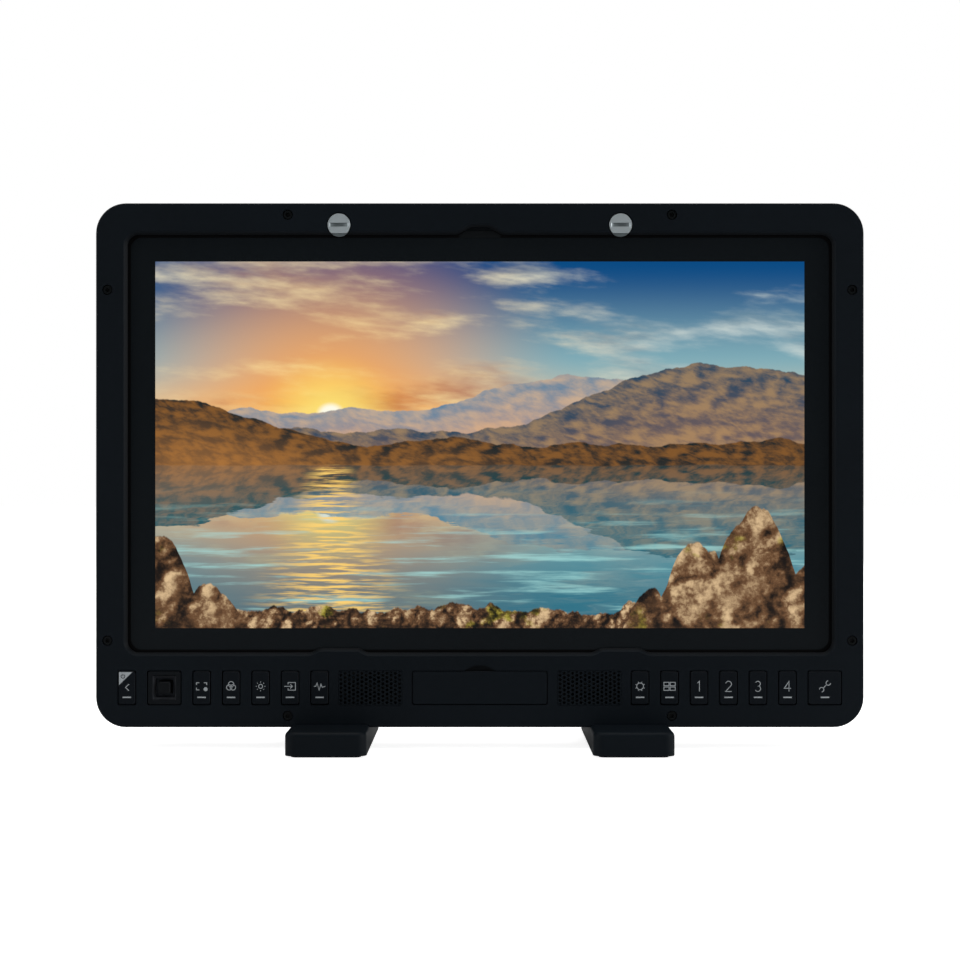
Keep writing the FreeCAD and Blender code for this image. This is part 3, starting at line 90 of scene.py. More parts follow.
# %% Colours and wires
def tint(red, green, blue):
    """A colour given as screen values from 0 to 255, turned into the linear values that shaders use."""
    screen = np.array([red, green, blue]) / 255.0
    linear = np.where(screen <= 0.04045, screen / 12.92, ((screen + 0.055) / 1.055) ** 2.4)
    return (*linear.tolist(), 1.0)


def shaded(color, share):
    """A colour with each channel taken down or up by the same share."""
    return tuple(channel * share for channel in color[:3]) + (1.0,)


class Wire:
    """The value on a link of a node tree; arithmetic on it adds Math nodes."""

    def __init__(self, graph, socket):
        self.graph = graph
        self.socket = socket

    def math(self, operation, *others):
        return self.graph.node("ShaderNodeMath", {"operation": operation}, self, *others)

    def __add__(self, other):
        return self.math("ADD", other)

    def __sub__(self, other):
        return self.math("SUBTRACT", other)

    def __mul__(self, other):
        return self.math("MULTIPLY", other)

    def __truediv__(self, other):
        return self.math("DIVIDE", other)

    def step(self, low, high):
        """0 below low, 1 above high, and a smooth rise between them."""
        return self.graph.node("ShaderNodeMapRange", {"interpolation_type": "SMOOTHSTEP"}, self, low, high)

    def below(self, edge, soft):
        """1 below an edge and 0 above it, with a soft change."""
        return ((self - edge) * -1.0).step(-soft, soft)


print("middle grey as a shader sees it:", round(tint(128, 128, 128)[0], 4))

# %% [markdown]
# A `Graph` is a node tree that wires run through. It makes nodes and plugs values into them, whether a value
# is a wire or a plain number, and it knows the two textures that all finishes here are made of: the place
# of a point, and cloudy noise. Image textures could give the same grain, but they have one fixed size, and
# noise stays sharp from near and from far.

# %% Graphs
class Graph:
    """A node tree to which formulas are added."""

    # Sockets of a Mix node that carry colours
    first_color, second_color, mixed_color = 6, 7, 2

    def __init__(self, tree, coordinates):
        self.tree = tree
        self.place = self.node("ShaderNodeTexCoord", {}, output=coordinates)

    def plug(self, value, socket):
        if isinstance(value, Wire):
            self.tree.links.new(value.socket, socket)
        else:
            socket.default_value = value

    def node(self, kind, settings, *values, output=0):
        """A new node with settings and input values; returns the wire of one output."""
        made = self.tree.nodes.new(kind)
        for name, setting in settings.items():
            setattr(made, name, setting)
        for place, value in enumerate(values):
            self.plug(value, made.inputs[place])
        return Wire(self, made.outputs[output])

    def axes(self):
        """The three coordinates of a point."""
        return [self.node("ShaderNodeSeparateXYZ", {}, self.place, output=axis) for axis in range(3)]

    def vector(self, x, y, z):
        return self.node("ShaderNodeCombineXYZ", {}, x, y, z)

    def noise(self, scale, detail=4.0, rough=0.5, at=None):
        """Cloudy noise from about 0.25 to 0.75, with a cell of about one over scale."""
        made = self.tree.nodes.new("ShaderNodeTexNoise")
        self.plug(at or self.place, made.inputs["Vector"])
        made.inputs["Scale"].default_value = scale
        made.inputs["Detail"].default_value = detail
        made.inputs["Roughness"].default_value = rough
        return Wire(self, made.outputs["Fac"])

    def mix(self, share, first, second):
        """A colour between two colours: the first where share is 0 and the second where it is 1."""
        made = self.tree.nodes.new("ShaderNodeMix")
        made.data_type = "RGBA"
        self.plug(share, made.inputs["Factor"])
        self.plug(first, made.inputs[self.first_color])
        self.plug(second, made.inputs[self.second_color])
        return Wire(self, made.outputs[self.mixed_color])


graph_words = [name for name, member in vars(Graph).items() if callable(member) and not name.startswith("_")]
print("a graph has", ", ".join(graph_words))

# %% [markdown]
# A `Finish` is the graph of a material with one Principled shader, which covers paint, plastic and metal
# alike. Its textures lie on the object's own coordinates, in metres. That needs no unwrapped surface, and a
# grain keeps its real size and moves with the piece.

# %% Finishes
class Finish(Graph):
    """A material with one Principled shader, whose inputs are set by formulas."""

    def __init__(self, name, **values):
        self.material = bpy.data.materials.new(name)
        self.material.use_nodes = True
        super().__init__(self.material.node_tree, "Object")
        self.shader = self.tree.nodes["Principled BSDF"]
        self.set(**values)

    def set(self, **values):
        """Sets shader inputs by name, with words joined by an underline."""
        for name, value in values.items():
            self.plug(value, self.shader.inputs[name.replace("_", " ").title().replace("Ior", "IOR")])
        return self

    def bump(self, height, depth):
        """Tilts the shading by a height that runs from 0 to 1 over a depth in metres."""
        made = self.tree.nodes.new("ShaderNodeBump")
        made.inputs["Distance"].default_value = depth
        self.plug(height, made.inputs["Height"])
        self.tree.links.new(made.outputs["Normal"], self.shader.inputs["Normal"])
        return self


finish_words = [name for name in vars(Finish) if not name.startswith("_")]
print("a finish adds", ", ".join(finish_words))

# %% [markdown]
# ## Stage and light
# The photograph is a studio picture on plain white, with hardly a shadow. Strong lamps on a white table
# would give that ground, but they would wash out the black metal. So the table glows by itself for rays
# that come from the camera, go through glass or are mirrored towards the back, and stays a plain table that
# takes a shadow for all other light.

# %% Table
def mesh_object(name, points, faces, material=None):
    """An object at the origin from an array of points and a list or array of faces."""
    mesh = bpy.data.meshes.new(name)
    mesh.from_pydata(np.asarray(points).tolist(), [], [list(face) for face in faces])
    mesh.update()
    made = bpy.data.objects.new(name, mesh)
    scene.collection.objects.link(made)
    if material is not None:
        mesh.materials.append(material)
    return made


def white_paths(graph, backdrop):
    """1 for rays that see a white ground: the camera's, those through glass and mirrored ones to the back."""
    camera_ray = graph.node("ShaderNodeLightPath", {}, output="Is Camera Ray")
    glass_ray = graph.node("ShaderNodeLightPath", {}, output="Is Transmission Ray")
    glossy_ray = graph.node("ShaderNodeLightPath", {}, output="Is Glossy Ray")
    return camera_ray.math("MAXIMUM", glass_ray).math("MAXIMUM", glossy_ray * backdrop)


white = (1.0, 1.0, 1.0, 1.0)
table_reach = 30.0
table_glow = 0.86
table_points = np.array([[-1, -1, 0], [1, -1, 0], [1, 1, 0], [-1, 1, 0]]) * table_reach
table_finish = Finish("white_table", base_color=tint(225, 225, 225), roughness=0.9)
behind = table_finish.axes()[1].step(0.0, 0.5)
table_finish.set(emission_color=white)
table_finish.set(emission_strength=white_paths(table_finish, behind) * table_glow)
table = mesh_object("table", table_points, [(0, 1, 2, 3)], table_finish.material)
print("table", 2 * table_reach, "m wide")

# %% [markdown]
# The world is what a ray meets that hits nothing. It is white where the table is white, and a dim grey for
# the light that fills shadows. For reflections the camera's side of the room is darker still, as in a studio
# with black curtains, because a black frame in a bright room looks grey.

# %% World
room_light = 0.22
mirror_light = 0.06
world = bpy.data.worlds.new("studio")
world.use_nodes = True
scene.world = world
studio = Graph(world.node_tree, "Generated")
background = world.node_tree.nodes["Background"]
white_part = white_paths(studio, studio.axes()[1].step(-0.1, 0.4))
mirrored = studio.node("ShaderNodeLightPath", {}, output="Is Glossy Ray")
dim_part = mirrored * (mirror_light - room_light) + room_light
background.inputs["Color"].default_value = white
studio.plug(white_part.math("MAXIMUM", dim_part), background.inputs["Strength"])
print("world of", len(world.node_tree.nodes), "nodes")

# %% [markdown]
# Four soft boxes light the monitor from the right, the left, above and behind. A sun lamp would draw hard
# edges that the photograph doesn't have. Their power is set so that a colour renders about as it is written.

# %% Soft boxes
middle = (frame_low + frame_high) / 2


def soft_box(name, place, width, height, power):
    """A rectangular lamp at a place, turned to face the middle of the front."""
    data = bpy.data.lights.new(name, "AREA")
    data.shape = "RECTANGLE"
    data.size = width
    data.size_y = height
    data.energy = power
    lamp = bpy.data.objects.new(name, data)
    lamp.location = place
    facing = middle - Vector(place)
    lamp.rotation_euler = facing.to_track_quat("-Z", "Y").to_euler()
    scene.collection.objects.link(lamp)
    return lamp


lamps = [
    soft_box("right_box", (2.0, -0.6, 0.6), width=0.8, height=1.2, power=20.0),
    soft_box("left_box", (-1.7, -0.9, 0.7), width=0.7, height=1.1, power=10.0),
    soft_box("top_box", (0.0, -0.3, 1.9), width=1.6, height=1.0, power=15.0),
    soft_box("rear_box", (0.7, 1.9, 1.1), width=1.4, height=1.1, power=24.0),
]
print(len(lamps), "soft boxes of", sum(lamp.data.energy for lamp in lamps), "W")

# %% [markdown]
# ## Finishes of the solids
# Frame, housing and feet are aluminium, blasted with fine beads and anodised black: a faint grain that
# scatters light, a colour that drifts a little over the surface, and no shine. Keys are moulded plastic
# with a finer skin, and boards, cables and rubber are grained in their own way. Each could have a material
# drawn by hand, but they differ only in colour and in the size of the grain. So one function makes all of
# these skins from a table, with a row for each material of the record.

# %% Blasted and moulded skins
def skin(name, color, drift, roughness, grain, depth, patch, gloss, second=None):
    """A grained skin: a base colour that drifts in broad patches, and pits one over grain wide.

    A second colour, where there is one, comes with a formula that is 1 where it lies and 0 elsewhere.
    """
    finish = Finish(name, specular_ior_level=gloss)
    patches = finish.noise(patch, detail=3.0)
    pits = finish.noise(grain, detail=2.0, rough=0.6)
    tone = (patches + pits * 0.5 - 0.25).step(0.25, 0.75)
    toned = finish.mix(tone, shaded(color, 1.0 - drift), shaded(color, 1.0 + drift))
    if second is not None:
        where, other_color = second
        toned = finish.mix(where(finish), toned, other_color)
    finish.set(base_color=toned)
    finish.set(roughness=pits * 0.16 + (roughness - 0.08))
    return finish.bump(pits, depth)


# Colour, its drift, roughness, pits to the metre, their depth, patches to the metre, gloss
skins = {
    "black_anodised": (tint(10, 17, 23), 0.10, 0.55, 2600.0, 0.020 * mm, 18.0, 0.10),
    "key_plastic": (tint(9, 15, 21), 0.08, 0.50, 4200.0, 0.010 * mm, 18.0, 0.10),
    "inner_plastic": (tint(22, 22, 21), 0.12, 0.55, 3000.0, 0.020 * mm, 18.0, 0.30),
    "black_rubber": (tint(4, 4, 5), 0.15, 0.75, 1800.0, 0.030 * mm, 18.0, 0.06),
    "board": (tint(16, 58, 40), 0.20, 0.45, 900.0, 0.020 * mm, 140.0, 0.50),
    "cable": (tint(196, 150, 78), 0.10, 0.40, 700.0, 0.010 * mm, 90.0, 0.50),
    "panel_glass": (tint(12, 13, 16), 0.10, 0.30, 2000.0, 0.004 * mm, 18.0, 0.50),
    "cover_glass": (tint(20, 24, 27), 0.05, 0.22, 2400.0, 0.002 * mm, 18.0, 0.05),
    "black_steel": (tint(9, 13, 15), 0.12, 0.45, 3600.0, 0.006 * mm, 18.0, 0.12),
}
finishes = {name: skin(name, *row) for name, row in skins.items()}
print(len(finishes), "skins")

# %% [markdown]
# Screws, sockets and the trays inside are bare or plated metal. Real metal is never evenly bright: rolling
# and brushing leave fine lines, and handling leaves a haze. Noise that is stretched along X gives the lines,
# and broad noise gives the haze, which a plain roughness value would miss.

# %% Metals
nickel_color, steel_color = tint(206, 204, 196), tint(168, 170, 172)


def metal(name, color, roughness, brush, depth):
    """A bare or plated metal: fine lines along X, one over brush apart, and slow changes of gloss."""
    finish = Finish(name, metallic=1.0)
    x, y, z = finish.axes()
    lines = finish.noise(brush, detail=3.0, at=finish.vector(x * 0.03, y, z))
    haze = finish.noise(60.0, detail=3.0)
    finish.set(base_color=finish.mix(haze.step(0.3, 0.7), shaded(color, 0.82), color))
    finish.set(roughness=lines * 0.2 + haze * 0.1 + (roughness - 0.15))
    return finish.bump(lines, depth)


# Colour, roughness, lines to the metre, their depth
metals = {
    "plain_steel": (steel_color, 0.34, 1500.0, 0.010 * mm),
    "nickel": (nickel_color, 0.26, 900.0, 0.006 * mm),
    "tray_metal": (tint(176, 178, 180), 0.38, 700.0, 0.010 * mm),
    "sink_metal": (tint(150, 152, 155), 0.40, 1100.0, 0.010 * mm),
}
finishes.update({name: metal(name, *row) for name, row in metals.items()})
thread_steel = metal("thread_steel", tint(74, 76, 79), 0.45, 1500.0, 0.010 * mm)
print(len(finishes), "finishes, and a darker steel for threads")

# %% [markdown]
# Some pieces need more than one plain finish. The front frame is painted darker in its recesses, as painted
# shade: the chamfer round the screen, the pockets and the notch over the plate. The gasket is a black line
# round the glass, but in the finger notch it widens into a pad with the tone of the glass. Both could be cut
# into several pieces. The place of a point says as much, in a formula.

# %% Painted shade in the frame's recesses, and the finger notch
outer_margin = 4.0 * mm
recess_depth = 1.4 * mm
top_rail = 14.0 * mm
notch_base, notch_flat, notch_rise = 20.0 * mm, 8.6 * mm, 3.4 * mm
pad_margin = 0.7 * mm
notch_blur, margin_blur = 0.1 * mm, 0.5 * mm


def painted_recess_shade(finish):
    """1 where shade is painted in the recesses of the front frame, 0 on its face and along its outside."""
    x, y, z = finish.axes()
    sunk = y.step(frame_low.y + 0.1 * recess_depth, frame_low.y + recess_depth)
    beside = x.math("ABSOLUTE").below(frame_high.x - outer_margin, margin_blur)
    level = (z - middle.z).math("ABSOLUTE").below(frame_high.z - middle.z - outer_margin, margin_blur)
    return sunk * beside * level


def in_notch(finish):
    """1 inside the finger notch over the glass, whose sides lean in as it rises, less a dark margin."""
    x, _, z = finish.axes()
    window_top = frame_high.z - top_rail
    climb = (z - window_top).math("MAXIMUM", 0.0)
    reach = x.math("ABSOLUTE") + climb * ((notch_base - notch_flat) / 2 / notch_rise)
    between = reach.below(notch_base / 2 - pad_margin, notch_blur)
    under = climb.below(notch_rise - pad_margin, notch_blur)
    return between * under * z.step(middle.z, window_top - notch_rise)


# Painted shade: the frame's own colour at under half its brightness, laid in its recesses
frame_painted_shade = (painted_recess_shade, shaded(skins["black_anodised"][0], 0.45))
notch_pad = (in_notch, tint(17, 20, 22))
special = {
    "front_frame": skin("frame_anodised", *skins["black_anodised"], second=frame_painted_shade),
    "glass_gasket": skin("gasket_rubber", *skins["black_rubber"], second=notch_pad),
}
print("dark recesses", recess_depth / mm, "mm below the face, and a pad", notch_rise / mm, "mm high")

# %% [markdown]
# The locks are turned on a lathe, so their lines are rings round the axis, and the slot and the flat are
# rougher than the polished face and painted darker, as painted shade. The cap of the joystick and its bezel
# are black outside, and the recess between them is painted a lighter grey, as painted light that makes up for
# the shade there. The faces could be given materials one by one, but the distance from the axis of the piece
# tells them apart without picking any face.

# %% Turned and recessed pieces
def around(finish, node, count=1, body=0.0):
    """How far a point lies beside and above the nearest axis of a row of equal bodies, along Y."""
    low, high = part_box(node)
    x, _, z = finish.axes()
    rise = z - (low.z + high.z) / 2
    if count == 1:
        return x - (low.x + high.x) / 2, rise
    pitch = (high.x - low.x - body) / (count - 1)
    order = (x - (low.x + body / 2)) / pitch
    return (order - order.math("ROUND")) * pitch, rise


def distance(side, rise):
    """The length of the way that goes to the side and up."""
    return (side * side + rise * rise).math("SQRT")


def turned(node):
    """Bright turned steel: rings round a lock's axis; faces cut below its front are rougher and painted
    darker as shade.
    """
    # The colour of faces cut below the front is painted shade, darker than the polished face
    polished, sunk_shade_color = tint(174, 184, 188), tint(112, 122, 125)
    finish = Finish(node + "_steel", metallic=0.35)
    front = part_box(node)[0].y
    sunk = finish.axes()[1].step(front + 0.15 * mm, front + 0.4 * mm)
    rings = finish.noise(5200.0, detail=2.0, at=finish.vector(distance(*around(finish, node)), 0.0, 0.0))
    finish.set(base_color=finish.mix(sunk, polished, sunk_shade_color))
    finish.set(roughness=sunk * 0.15 + rings * 0.16 + 0.28)
    return finish.bump(rings, 0.004 * mm)


def recessed(node, reach, inner, outer):
    """A plastic skin whose colour changes at a reach from a node's middle, measured square to X and Z."""
    finish = Finish(node + "_skin", specular_ior_level=0.10, roughness=0.55)
    side, rise = around(finish, node)
    reached = side.math("ABSOLUTE").math("MAXIMUM", rise.math("ABSOLUTE"))
    finish.set(base_color=finish.mix(reached.step(reach, reach + 0.1 * mm), inner, outer))
    return finish.bump(finish.noise(4200.0, detail=2.0), 0.010 * mm)


cap_reach, bezel_reach = 3.1 * mm, 5.2 * mm
special["lock_left"] = turned("lock_left")
special["lock_right"] = turned("lock_right")
# The lighter grey on the cap's skirt and in the bezel's dish is painted light that makes up for the shade
# there
special["joystick_cap"] = recessed("joystick_cap", cap_reach, tint(12, 15, 18), tint(56, 61, 68))
special["joystick_bezel"] = recessed("joystick_bezel", bezel_reach, tint(44, 46, 50), tint(12, 16, 20))
print("locks and joystick, so", len(special), "finishes for single pieces")

# %% [markdown]
# A socket is a metal shell with an insulator in it, and contacts in the insulator. On the packed model it is
# one solid, because it is bought as one piece. The distance from the nearest axis again says which part a
# point belongs to, so the same three functions serve a single socket and a row of them.

# %% Sockets
edge_blur = 0.03 * mm
white_core, black_core, gilt = tint(226, 224, 216), tint(18, 18, 19), tint(214, 168, 82)


def socketed(finish, shell, insulator, in_insulator, in_contact):
    """Colours of a socket: a metal shell, an insulator inside it, and gilt contacts in the insulator."""
    color = finish.mix(in_insulator, shell, insulator)
    finish.set(base_color=finish.mix(in_contact, color, gilt), roughness=0.3)
    finish.set(metallic=(in_insulator - in_contact) * -1.0 + 1.0)
    return finish


def round_sockets(node, count, body, core_radius, contact_radius):
    """Round sockets with a white core and one contact in the middle."""
    finish = Finish(node + "_metals")
    reach = distance(*around(finish, node, count, body))
    in_core = reach.below(core_radius, edge_blur)
    in_contact = reach.below(contact_radius, edge_blur)
    return socketed(finish, nickel_color, white_core, in_core, in_contact)


def pin_socket(node, bore_radius, pin_spacing, pin_radius):
    """A round socket with a black floor and two pins side by side."""
    finish = Finish(node + "_metals")
    side, rise = around(finish, node)
    in_bore = distance(side, rise).below(bore_radius, edge_blur)
    from_pin = distance(side.math("ABSOLUTE") - pin_spacing / 2, rise)
    in_pin = from_pin.below(pin_radius, edge_blur)
    return socketed(finish, nickel_color, black_core, in_bore, in_pin)


def flat_sockets(node, count, width, height, wall):
    """Flat sockets: a folded steel shell with a black tongue inside."""
    finish = Finish(node + "_metals")
    side, rise = around(finish, node, count, width)
    inside_x = side.math("ABSOLUTE").below(width / 2 - wall, edge_blur)
    inside_z = rise.math("ABSOLUTE").below(height / 2 - wall, edge_blur)
    return socketed(finish, steel_color, black_core, inside_x * inside_z, 0.0)


video_sizes = {"count": 4, "body": 13.0 * mm, "core_radius": 2.45 * mm, "contact_radius": 1.0 * mm}
power_sizes = {"bore_radius": 4.65 * mm, "pin_spacing": 3.6 * mm, "pin_radius": 0.8 * mm}
link_sizes = {"count": 2, "width": 15.2 * mm, "height": 6.2 * mm, "wall": 0.65 * mm}
data_sizes = {"count": 1, "width": 13.2 * mm, "height": 6.4 * mm, "wall": 0.65 * mm}
special["video_sockets"] = round_sockets("video_sockets", **video_sizes)
special["power_socket"] = pin_socket("power_socket", **power_sizes)
special["link_sockets"] = flat_sockets("link_sockets", **link_sizes)
special["data_socket"] = flat_sockets("data_socket", **data_sizes)
print("sockets, so", len(special), "finishes for single pieces")

# %% [markdown]
# The record names a material for every node. A node with a finish of its own takes that, and every other one
# takes the finish of its material, so that no piece is left plain.

# %% Give every node its finish
for part in record["subparts"]:
    finish = special.get(part["node"]) or finishes[part["material_slot"]]
    mesh = frame["nodes"][part["node"]].data
    mesh.materials.clear()
    mesh.materials.append(finish.material)
print("dressed", len(record["subparts"]), "nodes")

# %% [markdown]
# ## Threads in the mounting holes
# The solids have plain holes where an arm or a wall plate is screwed on. Each real hole has a thread, a ridge
# of triangular section that winds along the wall. A bump could hint at it, but the rim of a hole shows the
# true form, and a Screw modifier needs a profile object for every hole. So the ridge is worked out as one
# array, from the mouth of the hole, the way in, and the sizes of the thread.

# %% Shape of a thread
def thread(mouth, inward, radius, pitch, depth):
    """A ridge that winds along the wall of a hole.

    At each step of the angle, three points are set on a ray from the axis: two on the wall, a third of a
    pitch below and above, and one between them, raised off the wall by half a pitch. The ray moves inward
    by one pitch in a full turn, and faces join the three points to those of the next step. A triangle
    closes each end.
    """
    steps_per_turn = 20
    inward = np.asarray(inward, float)
    side = np.cross(inward, [0.3, 0.5, 0.8])
    side = side / np.linalg.norm(side)
    other = np.cross(inward, side)
    turns = depth / pitch - 1.5
    angle = np.arange(int(turns * steps_per_turn)) * 2 * math.pi / steps_per_turn
    ray = np.cos(angle)[:, None] * side + np.sin(angle)[:, None] * other
    along = pitch * (angle / (2 * math.pi) + 0.7)
    reach = np.array([radius, radius - pitch / 2, radius])
    shift = np.array([-pitch / 3, 0.0, pitch / 3])
    points = ray[:, None, :] * reach[:, None] + (along[:, None] + shift)[:, :, None] * inward
    start = np.arange(len(angle) - 1)[:, None] * 3
    edge = np.arange(3)
    turn = (edge + 1) % 3
    faces = np.stack([start + edge, start + turn, start + turn + 3, start + edge + 3], axis=-1)
    last = 3 * (len(angle) - 1)
    ends = [[2, 1, 0], [last, last + 1, last + 2]]
    return points.reshape(-1, 3) + mouth, faces.reshape(-1, 4).tolist() + ends


def gathered(name, shapes, material):
    """One object from several sets of points and faces."""
    points, faces, count = [], [], 0
    for shape_points, shape_faces in shapes:
        points.append(shape_points)
        faces += [[count + corner for corner in face] for face in shape_faces]
        count += len(shape_points)
    return mesh_object(name, np.vstack(points), faces, material)


camera_hole = {"radius": 3.175 * mm, "pitch": 25.4 * mm / 20, "depth": 10.0 * mm}
plate_hole = {"radius": 2.0 * mm, "pitch": 0.7 * mm, "depth": 9.0 * mm}
print("a camera thread has", len(thread((0, 0, 0), (0, 0, -1), **camera_hole)[1]), "faces")

# %% [markdown]
# A camera thread has 20 turns to the inch. Two such holes are on top and one on each side, for an arm or a
# stand. The wall-plate holes take screws of 4 millimetres and lie at the corners of two squares on the back.
# Holes of one kind share a mesh, because nobody moves them apart.

# %% Wind the threads
housing_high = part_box("rear_housing")[1]
center_z = (frame_low.z + frame_high.z) / 2
arm_offset, arm_depth = 67.2 * mm, 2.0 * mm
plate_spacings = (75.0 * mm, 100.0 * mm)
camera_threads, plate_threads = [], []
for side in (-1, 1):
    top_mouth = (side * arm_offset, arm_depth, housing_high.z)
    camera_threads.append(thread(top_mouth, (0, 0, -1), **camera_hole))
    camera_threads.append(thread((side * housing_high.x, arm_depth, center_z), (-side, 0, 0), **camera_hole))
    for spacing in plate_spacings:
        for level in (-1, 1):
            mouth = (side * spacing / 2, housing_high.y, center_z + level * spacing / 2)
            plate_threads.append(thread(mouth, (0, -1, 0), **plate_hole))
for name, threads in (("camera_threads", camera_threads), ("plate_threads", plate_threads)):
    wound = gathered(name, threads, thread_steel.material)
    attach(wound, "chassis")
print(len(camera_threads), "camera threads and", len(plate_threads), "wall-plate threads")

# %% [markdown]
# ## Flat printed and lit shapes
# Print and picture lie on flat faces. They could be drawn in the material of the face, but a small sign
# needs many nodes there, and a mesh has a sharp edge at any distance. Two small functions draw all of them.
# The first turns an outline into a thin plate.

# %% Filled outlines
print_height = 0.03 * mm


def filled(outline):
    """A thin plate over an outline of (x, z) points: the outline, its copy behind, a wall between them."""
    outline = np.asarray(outline, float)
    count = len(outline)
    front = np.column_stack([outline[:, 0], np.zeros(count), outline[:, 1]])
    back = front + [0.0, print_height, 0.0]
    ring = np.arange(count)
    after = np.roll(ring, -1)
    walls = np.column_stack([ring, ring + count, after + count, after])
    return np.vstack([front, back]), [ring.tolist(), (ring[::-1] + count).tolist(), *walls.tolist()]


def arc(x, z, radius, first, last, steps=20):
    """Points on a circle from one angle to another, in degrees from the right, anticlockwise."""
    turn = np.radians(np.linspace(first, last, steps))
    return np.column_stack([x + radius * np.cos(turn), z + radius * np.sin(turn)])


def printed(name, shapes, place, material):
    """One object from flat shapes, moved to a place on the face that carries them."""
    return gathered(name, [(points + place, faces) for points, faces in shapes], material)


print("print stands", print_height / mm, "mm proud")

# %% [markdown]
# The second function carries a flat rectangular profile along a path, as a pen does. A bevelled curve would
# do this too, but its corners grow thin where the path turns. Here the line is widened at each corner, so
# that it keeps its width.

# %% Pen lines
def drawn(path, width, closed=False):
    """A pen line: at each point of the path two edges lie half a width to the left and right of it.

    The side direction is the mean of the directions before and after the point, turned by a quarter, and
    it is stretched at a corner so that the line keeps its width. A second layer behind gives thickness.
    """
    path = np.asarray(path, float)
    ahead = np.roll(path, -1, axis=0) - path
    if not closed:
        ahead[-1] = ahead[-2]
    ahead = ahead / np.linalg.norm(ahead, axis=1, keepdims=True)
    before = np.roll(ahead, 1, axis=0)
    if not closed:
        before[0] = ahead[0]
    mean = ahead + before
    mean = mean / np.linalg.norm(mean, axis=1, keepdims=True)
    reach = width / 2 / np.clip((mean * ahead).sum(axis=1), 0.35, 1.0)
    side = np.column_stack([-mean[:, 1], mean[:, 0]]) * reach[:, None]
    flat = np.stack([path + side, path - side, path - side, path + side], axis=1)
    depth = np.broadcast_to([0.0, 0.0, print_height, print_height], flat.shape[:2])
    points = np.stack([flat[..., 0], depth, flat[..., 1]], axis=-1)
    start = np.arange(len(path) if closed else len(path) - 1)[:, None] * 4
    ahead_start = (start + 4) % (4 * len(path))
    edge = np.arange(4)
    turn = (edge + 1) % 4
    faces = np.stack([start + edge, start + turn, ahead_start + turn, ahead_start + edge], axis=-1)
    faces = faces.reshape(-1, 4).tolist()
    if not closed:
        last = 4 * (len(path) - 1)
        faces += [[3, 2, 1, 0], [last, last + 1, last + 2, last + 3]]
    return points.reshape(-1, 3), faces


print("a straight pen line has", len(drawn([[0, 0], [1, 0]], 0.1)[1]), "faces")

# %% [markdown]
# ## The lit picture
# A monitor on show has a bright picture on it. This one is made up from formulas: a lake at dawn between
# ridges, in blue, teal, orange and brown. Every layer is a line over the width of the screen, worked out
# from noise, and a colour that applies below it. Rough ground gets its light and shade from a height that
# is compared with the height a little nearer to the sun. An image would be simpler, but a formula needs no
# file, stays sharp when the camera comes near, and gives off light of its own.

# %% Tools for painting
panel_low, panel_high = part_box("picture_panel")
side_border, edge_border = 5.65 * mm, 5.0 * mm
screen_low = np.array([panel_low.x + side_border, panel_low.z + edge_border])
screen_high = np.array([panel_high.x - side_border, panel_high.z - edge_border])
screen_size = screen_high - screen_low
aspect = float(screen_size[0] / screen_size[1])

paint = Finish("lit_picture", base_color=(0.0, 0.0, 0.0, 1.0), roughness=0.25, specular_ior_level=0.2)
place_x, _, place_z = paint.axes()
across = (place_x - float(screen_low[0])) / float(screen_size[0])
up = (place_z - float(screen_low[1])) / float(screen_size[1])


def clouds_at(x, z, scale, seed, detail=6.0, rough=0.55):
    """Noise on the picture plane, moved to a place of its own by a seed."""
    return paint.noise(scale, detail, rough, at=paint.vector(x * aspect, z, seed))


def lumps_at(x, z, scale, seed, detail=4.0, rough=0.5):
    """Round lumps with sharp creases between them: how far noise lies from its middle value."""
    return (clouds_at(x, z, scale, seed, detail, rough) - 0.5).math("ABSOLUTE") * 4.0


def line_at(x, base, rise, scale, seed, peak=0.5, peak_width=0.3, peak_rise=0.0):
    """The height of a ridge over the width: a base, a rough line of noise and one broad peak."""
    rough_line = clouds_at(x, 0.0, scale, seed, 7.0, 0.5) - 0.5
    bell = (x - peak).math("ABSOLUTE") / -peak_width + 1.0
    return rough_line * rise + bell.step(0.0, 1.0) * peak_rise + base


def sunlit(height, x, z, lean, gain):
    """Light and shade from 0 to 1: the height of the ground, less its height a little nearer to the sun."""
    return ((height(x, z) - height(x - lean, z + lean)) * gain + 0.5).step(0.0, 1.0)


print("picture", [round(float(size), 4) for size in screen_size], "m, aspect", round(aspect, 3))

# %% [markdown]
# The sky is warm over the shore and blue above. The sun is a small disc with two glows round it, and clouds
# are noise drawn out sideways. Each cloud is compared with the noise a little below it, which tells its lit
# underside from its grey top.

# %% Paint the sky
shore = 0.45
sun_x, sun_z = 0.27, 0.585


def sky(x, z, from_sun):
    """Warm light over the shore, blue above, a sun with its glow, and streaks of cloud lit from below."""
    height = (z - shore) / (1.0 - shore)
    color = paint.mix(height.step(0.05, 0.55), tint(255, 190, 96), tint(142, 188, 194))
    color = paint.mix(height.step(0.30, 1.0), color, tint(6, 74, 130))
    color = paint.mix(from_sun.below(0.36, 0.36) * 0.9, color, tint(255, 164, 46))
    cover = clouds_at(x * 0.9, z * 3.6 + x * 0.5, 1.9, 3.1, 9.0).step(0.47, 0.66)
    under = clouds_at(x * 0.9, z * 3.6 + x * 0.5 - 0.1, 1.9, 3.1, 9.0).step(0.47, 0.66)
    dark_cloud = paint.mix(from_sun.below(0.5, 0.45), tint(84, 122, 144), tint(204, 122, 66))
    bright_cloud = paint.mix(from_sun.below(0.6, 0.5), tint(204, 216, 212), tint(255, 222, 150))
    color = paint.mix(cover * height.step(0.06, 0.3), color, paint.mix(under, bright_cloud, dark_cloud))
    color = paint.mix(from_sun.below(0.11, 0.11), color, tint(255, 226, 116))
    return paint.mix(from_sun.below(0.032, 0.012), color, tint(255, 252, 232))


print("the sun stands", round(sun_z - shore, 3), "of the height above the shore")

# %% [markdown]
# Three ridges stand one behind the other. The far one is pale, because air lies before it, and the near one
# is dark. All three come from one loop, so that another ridge is one more row of the table.

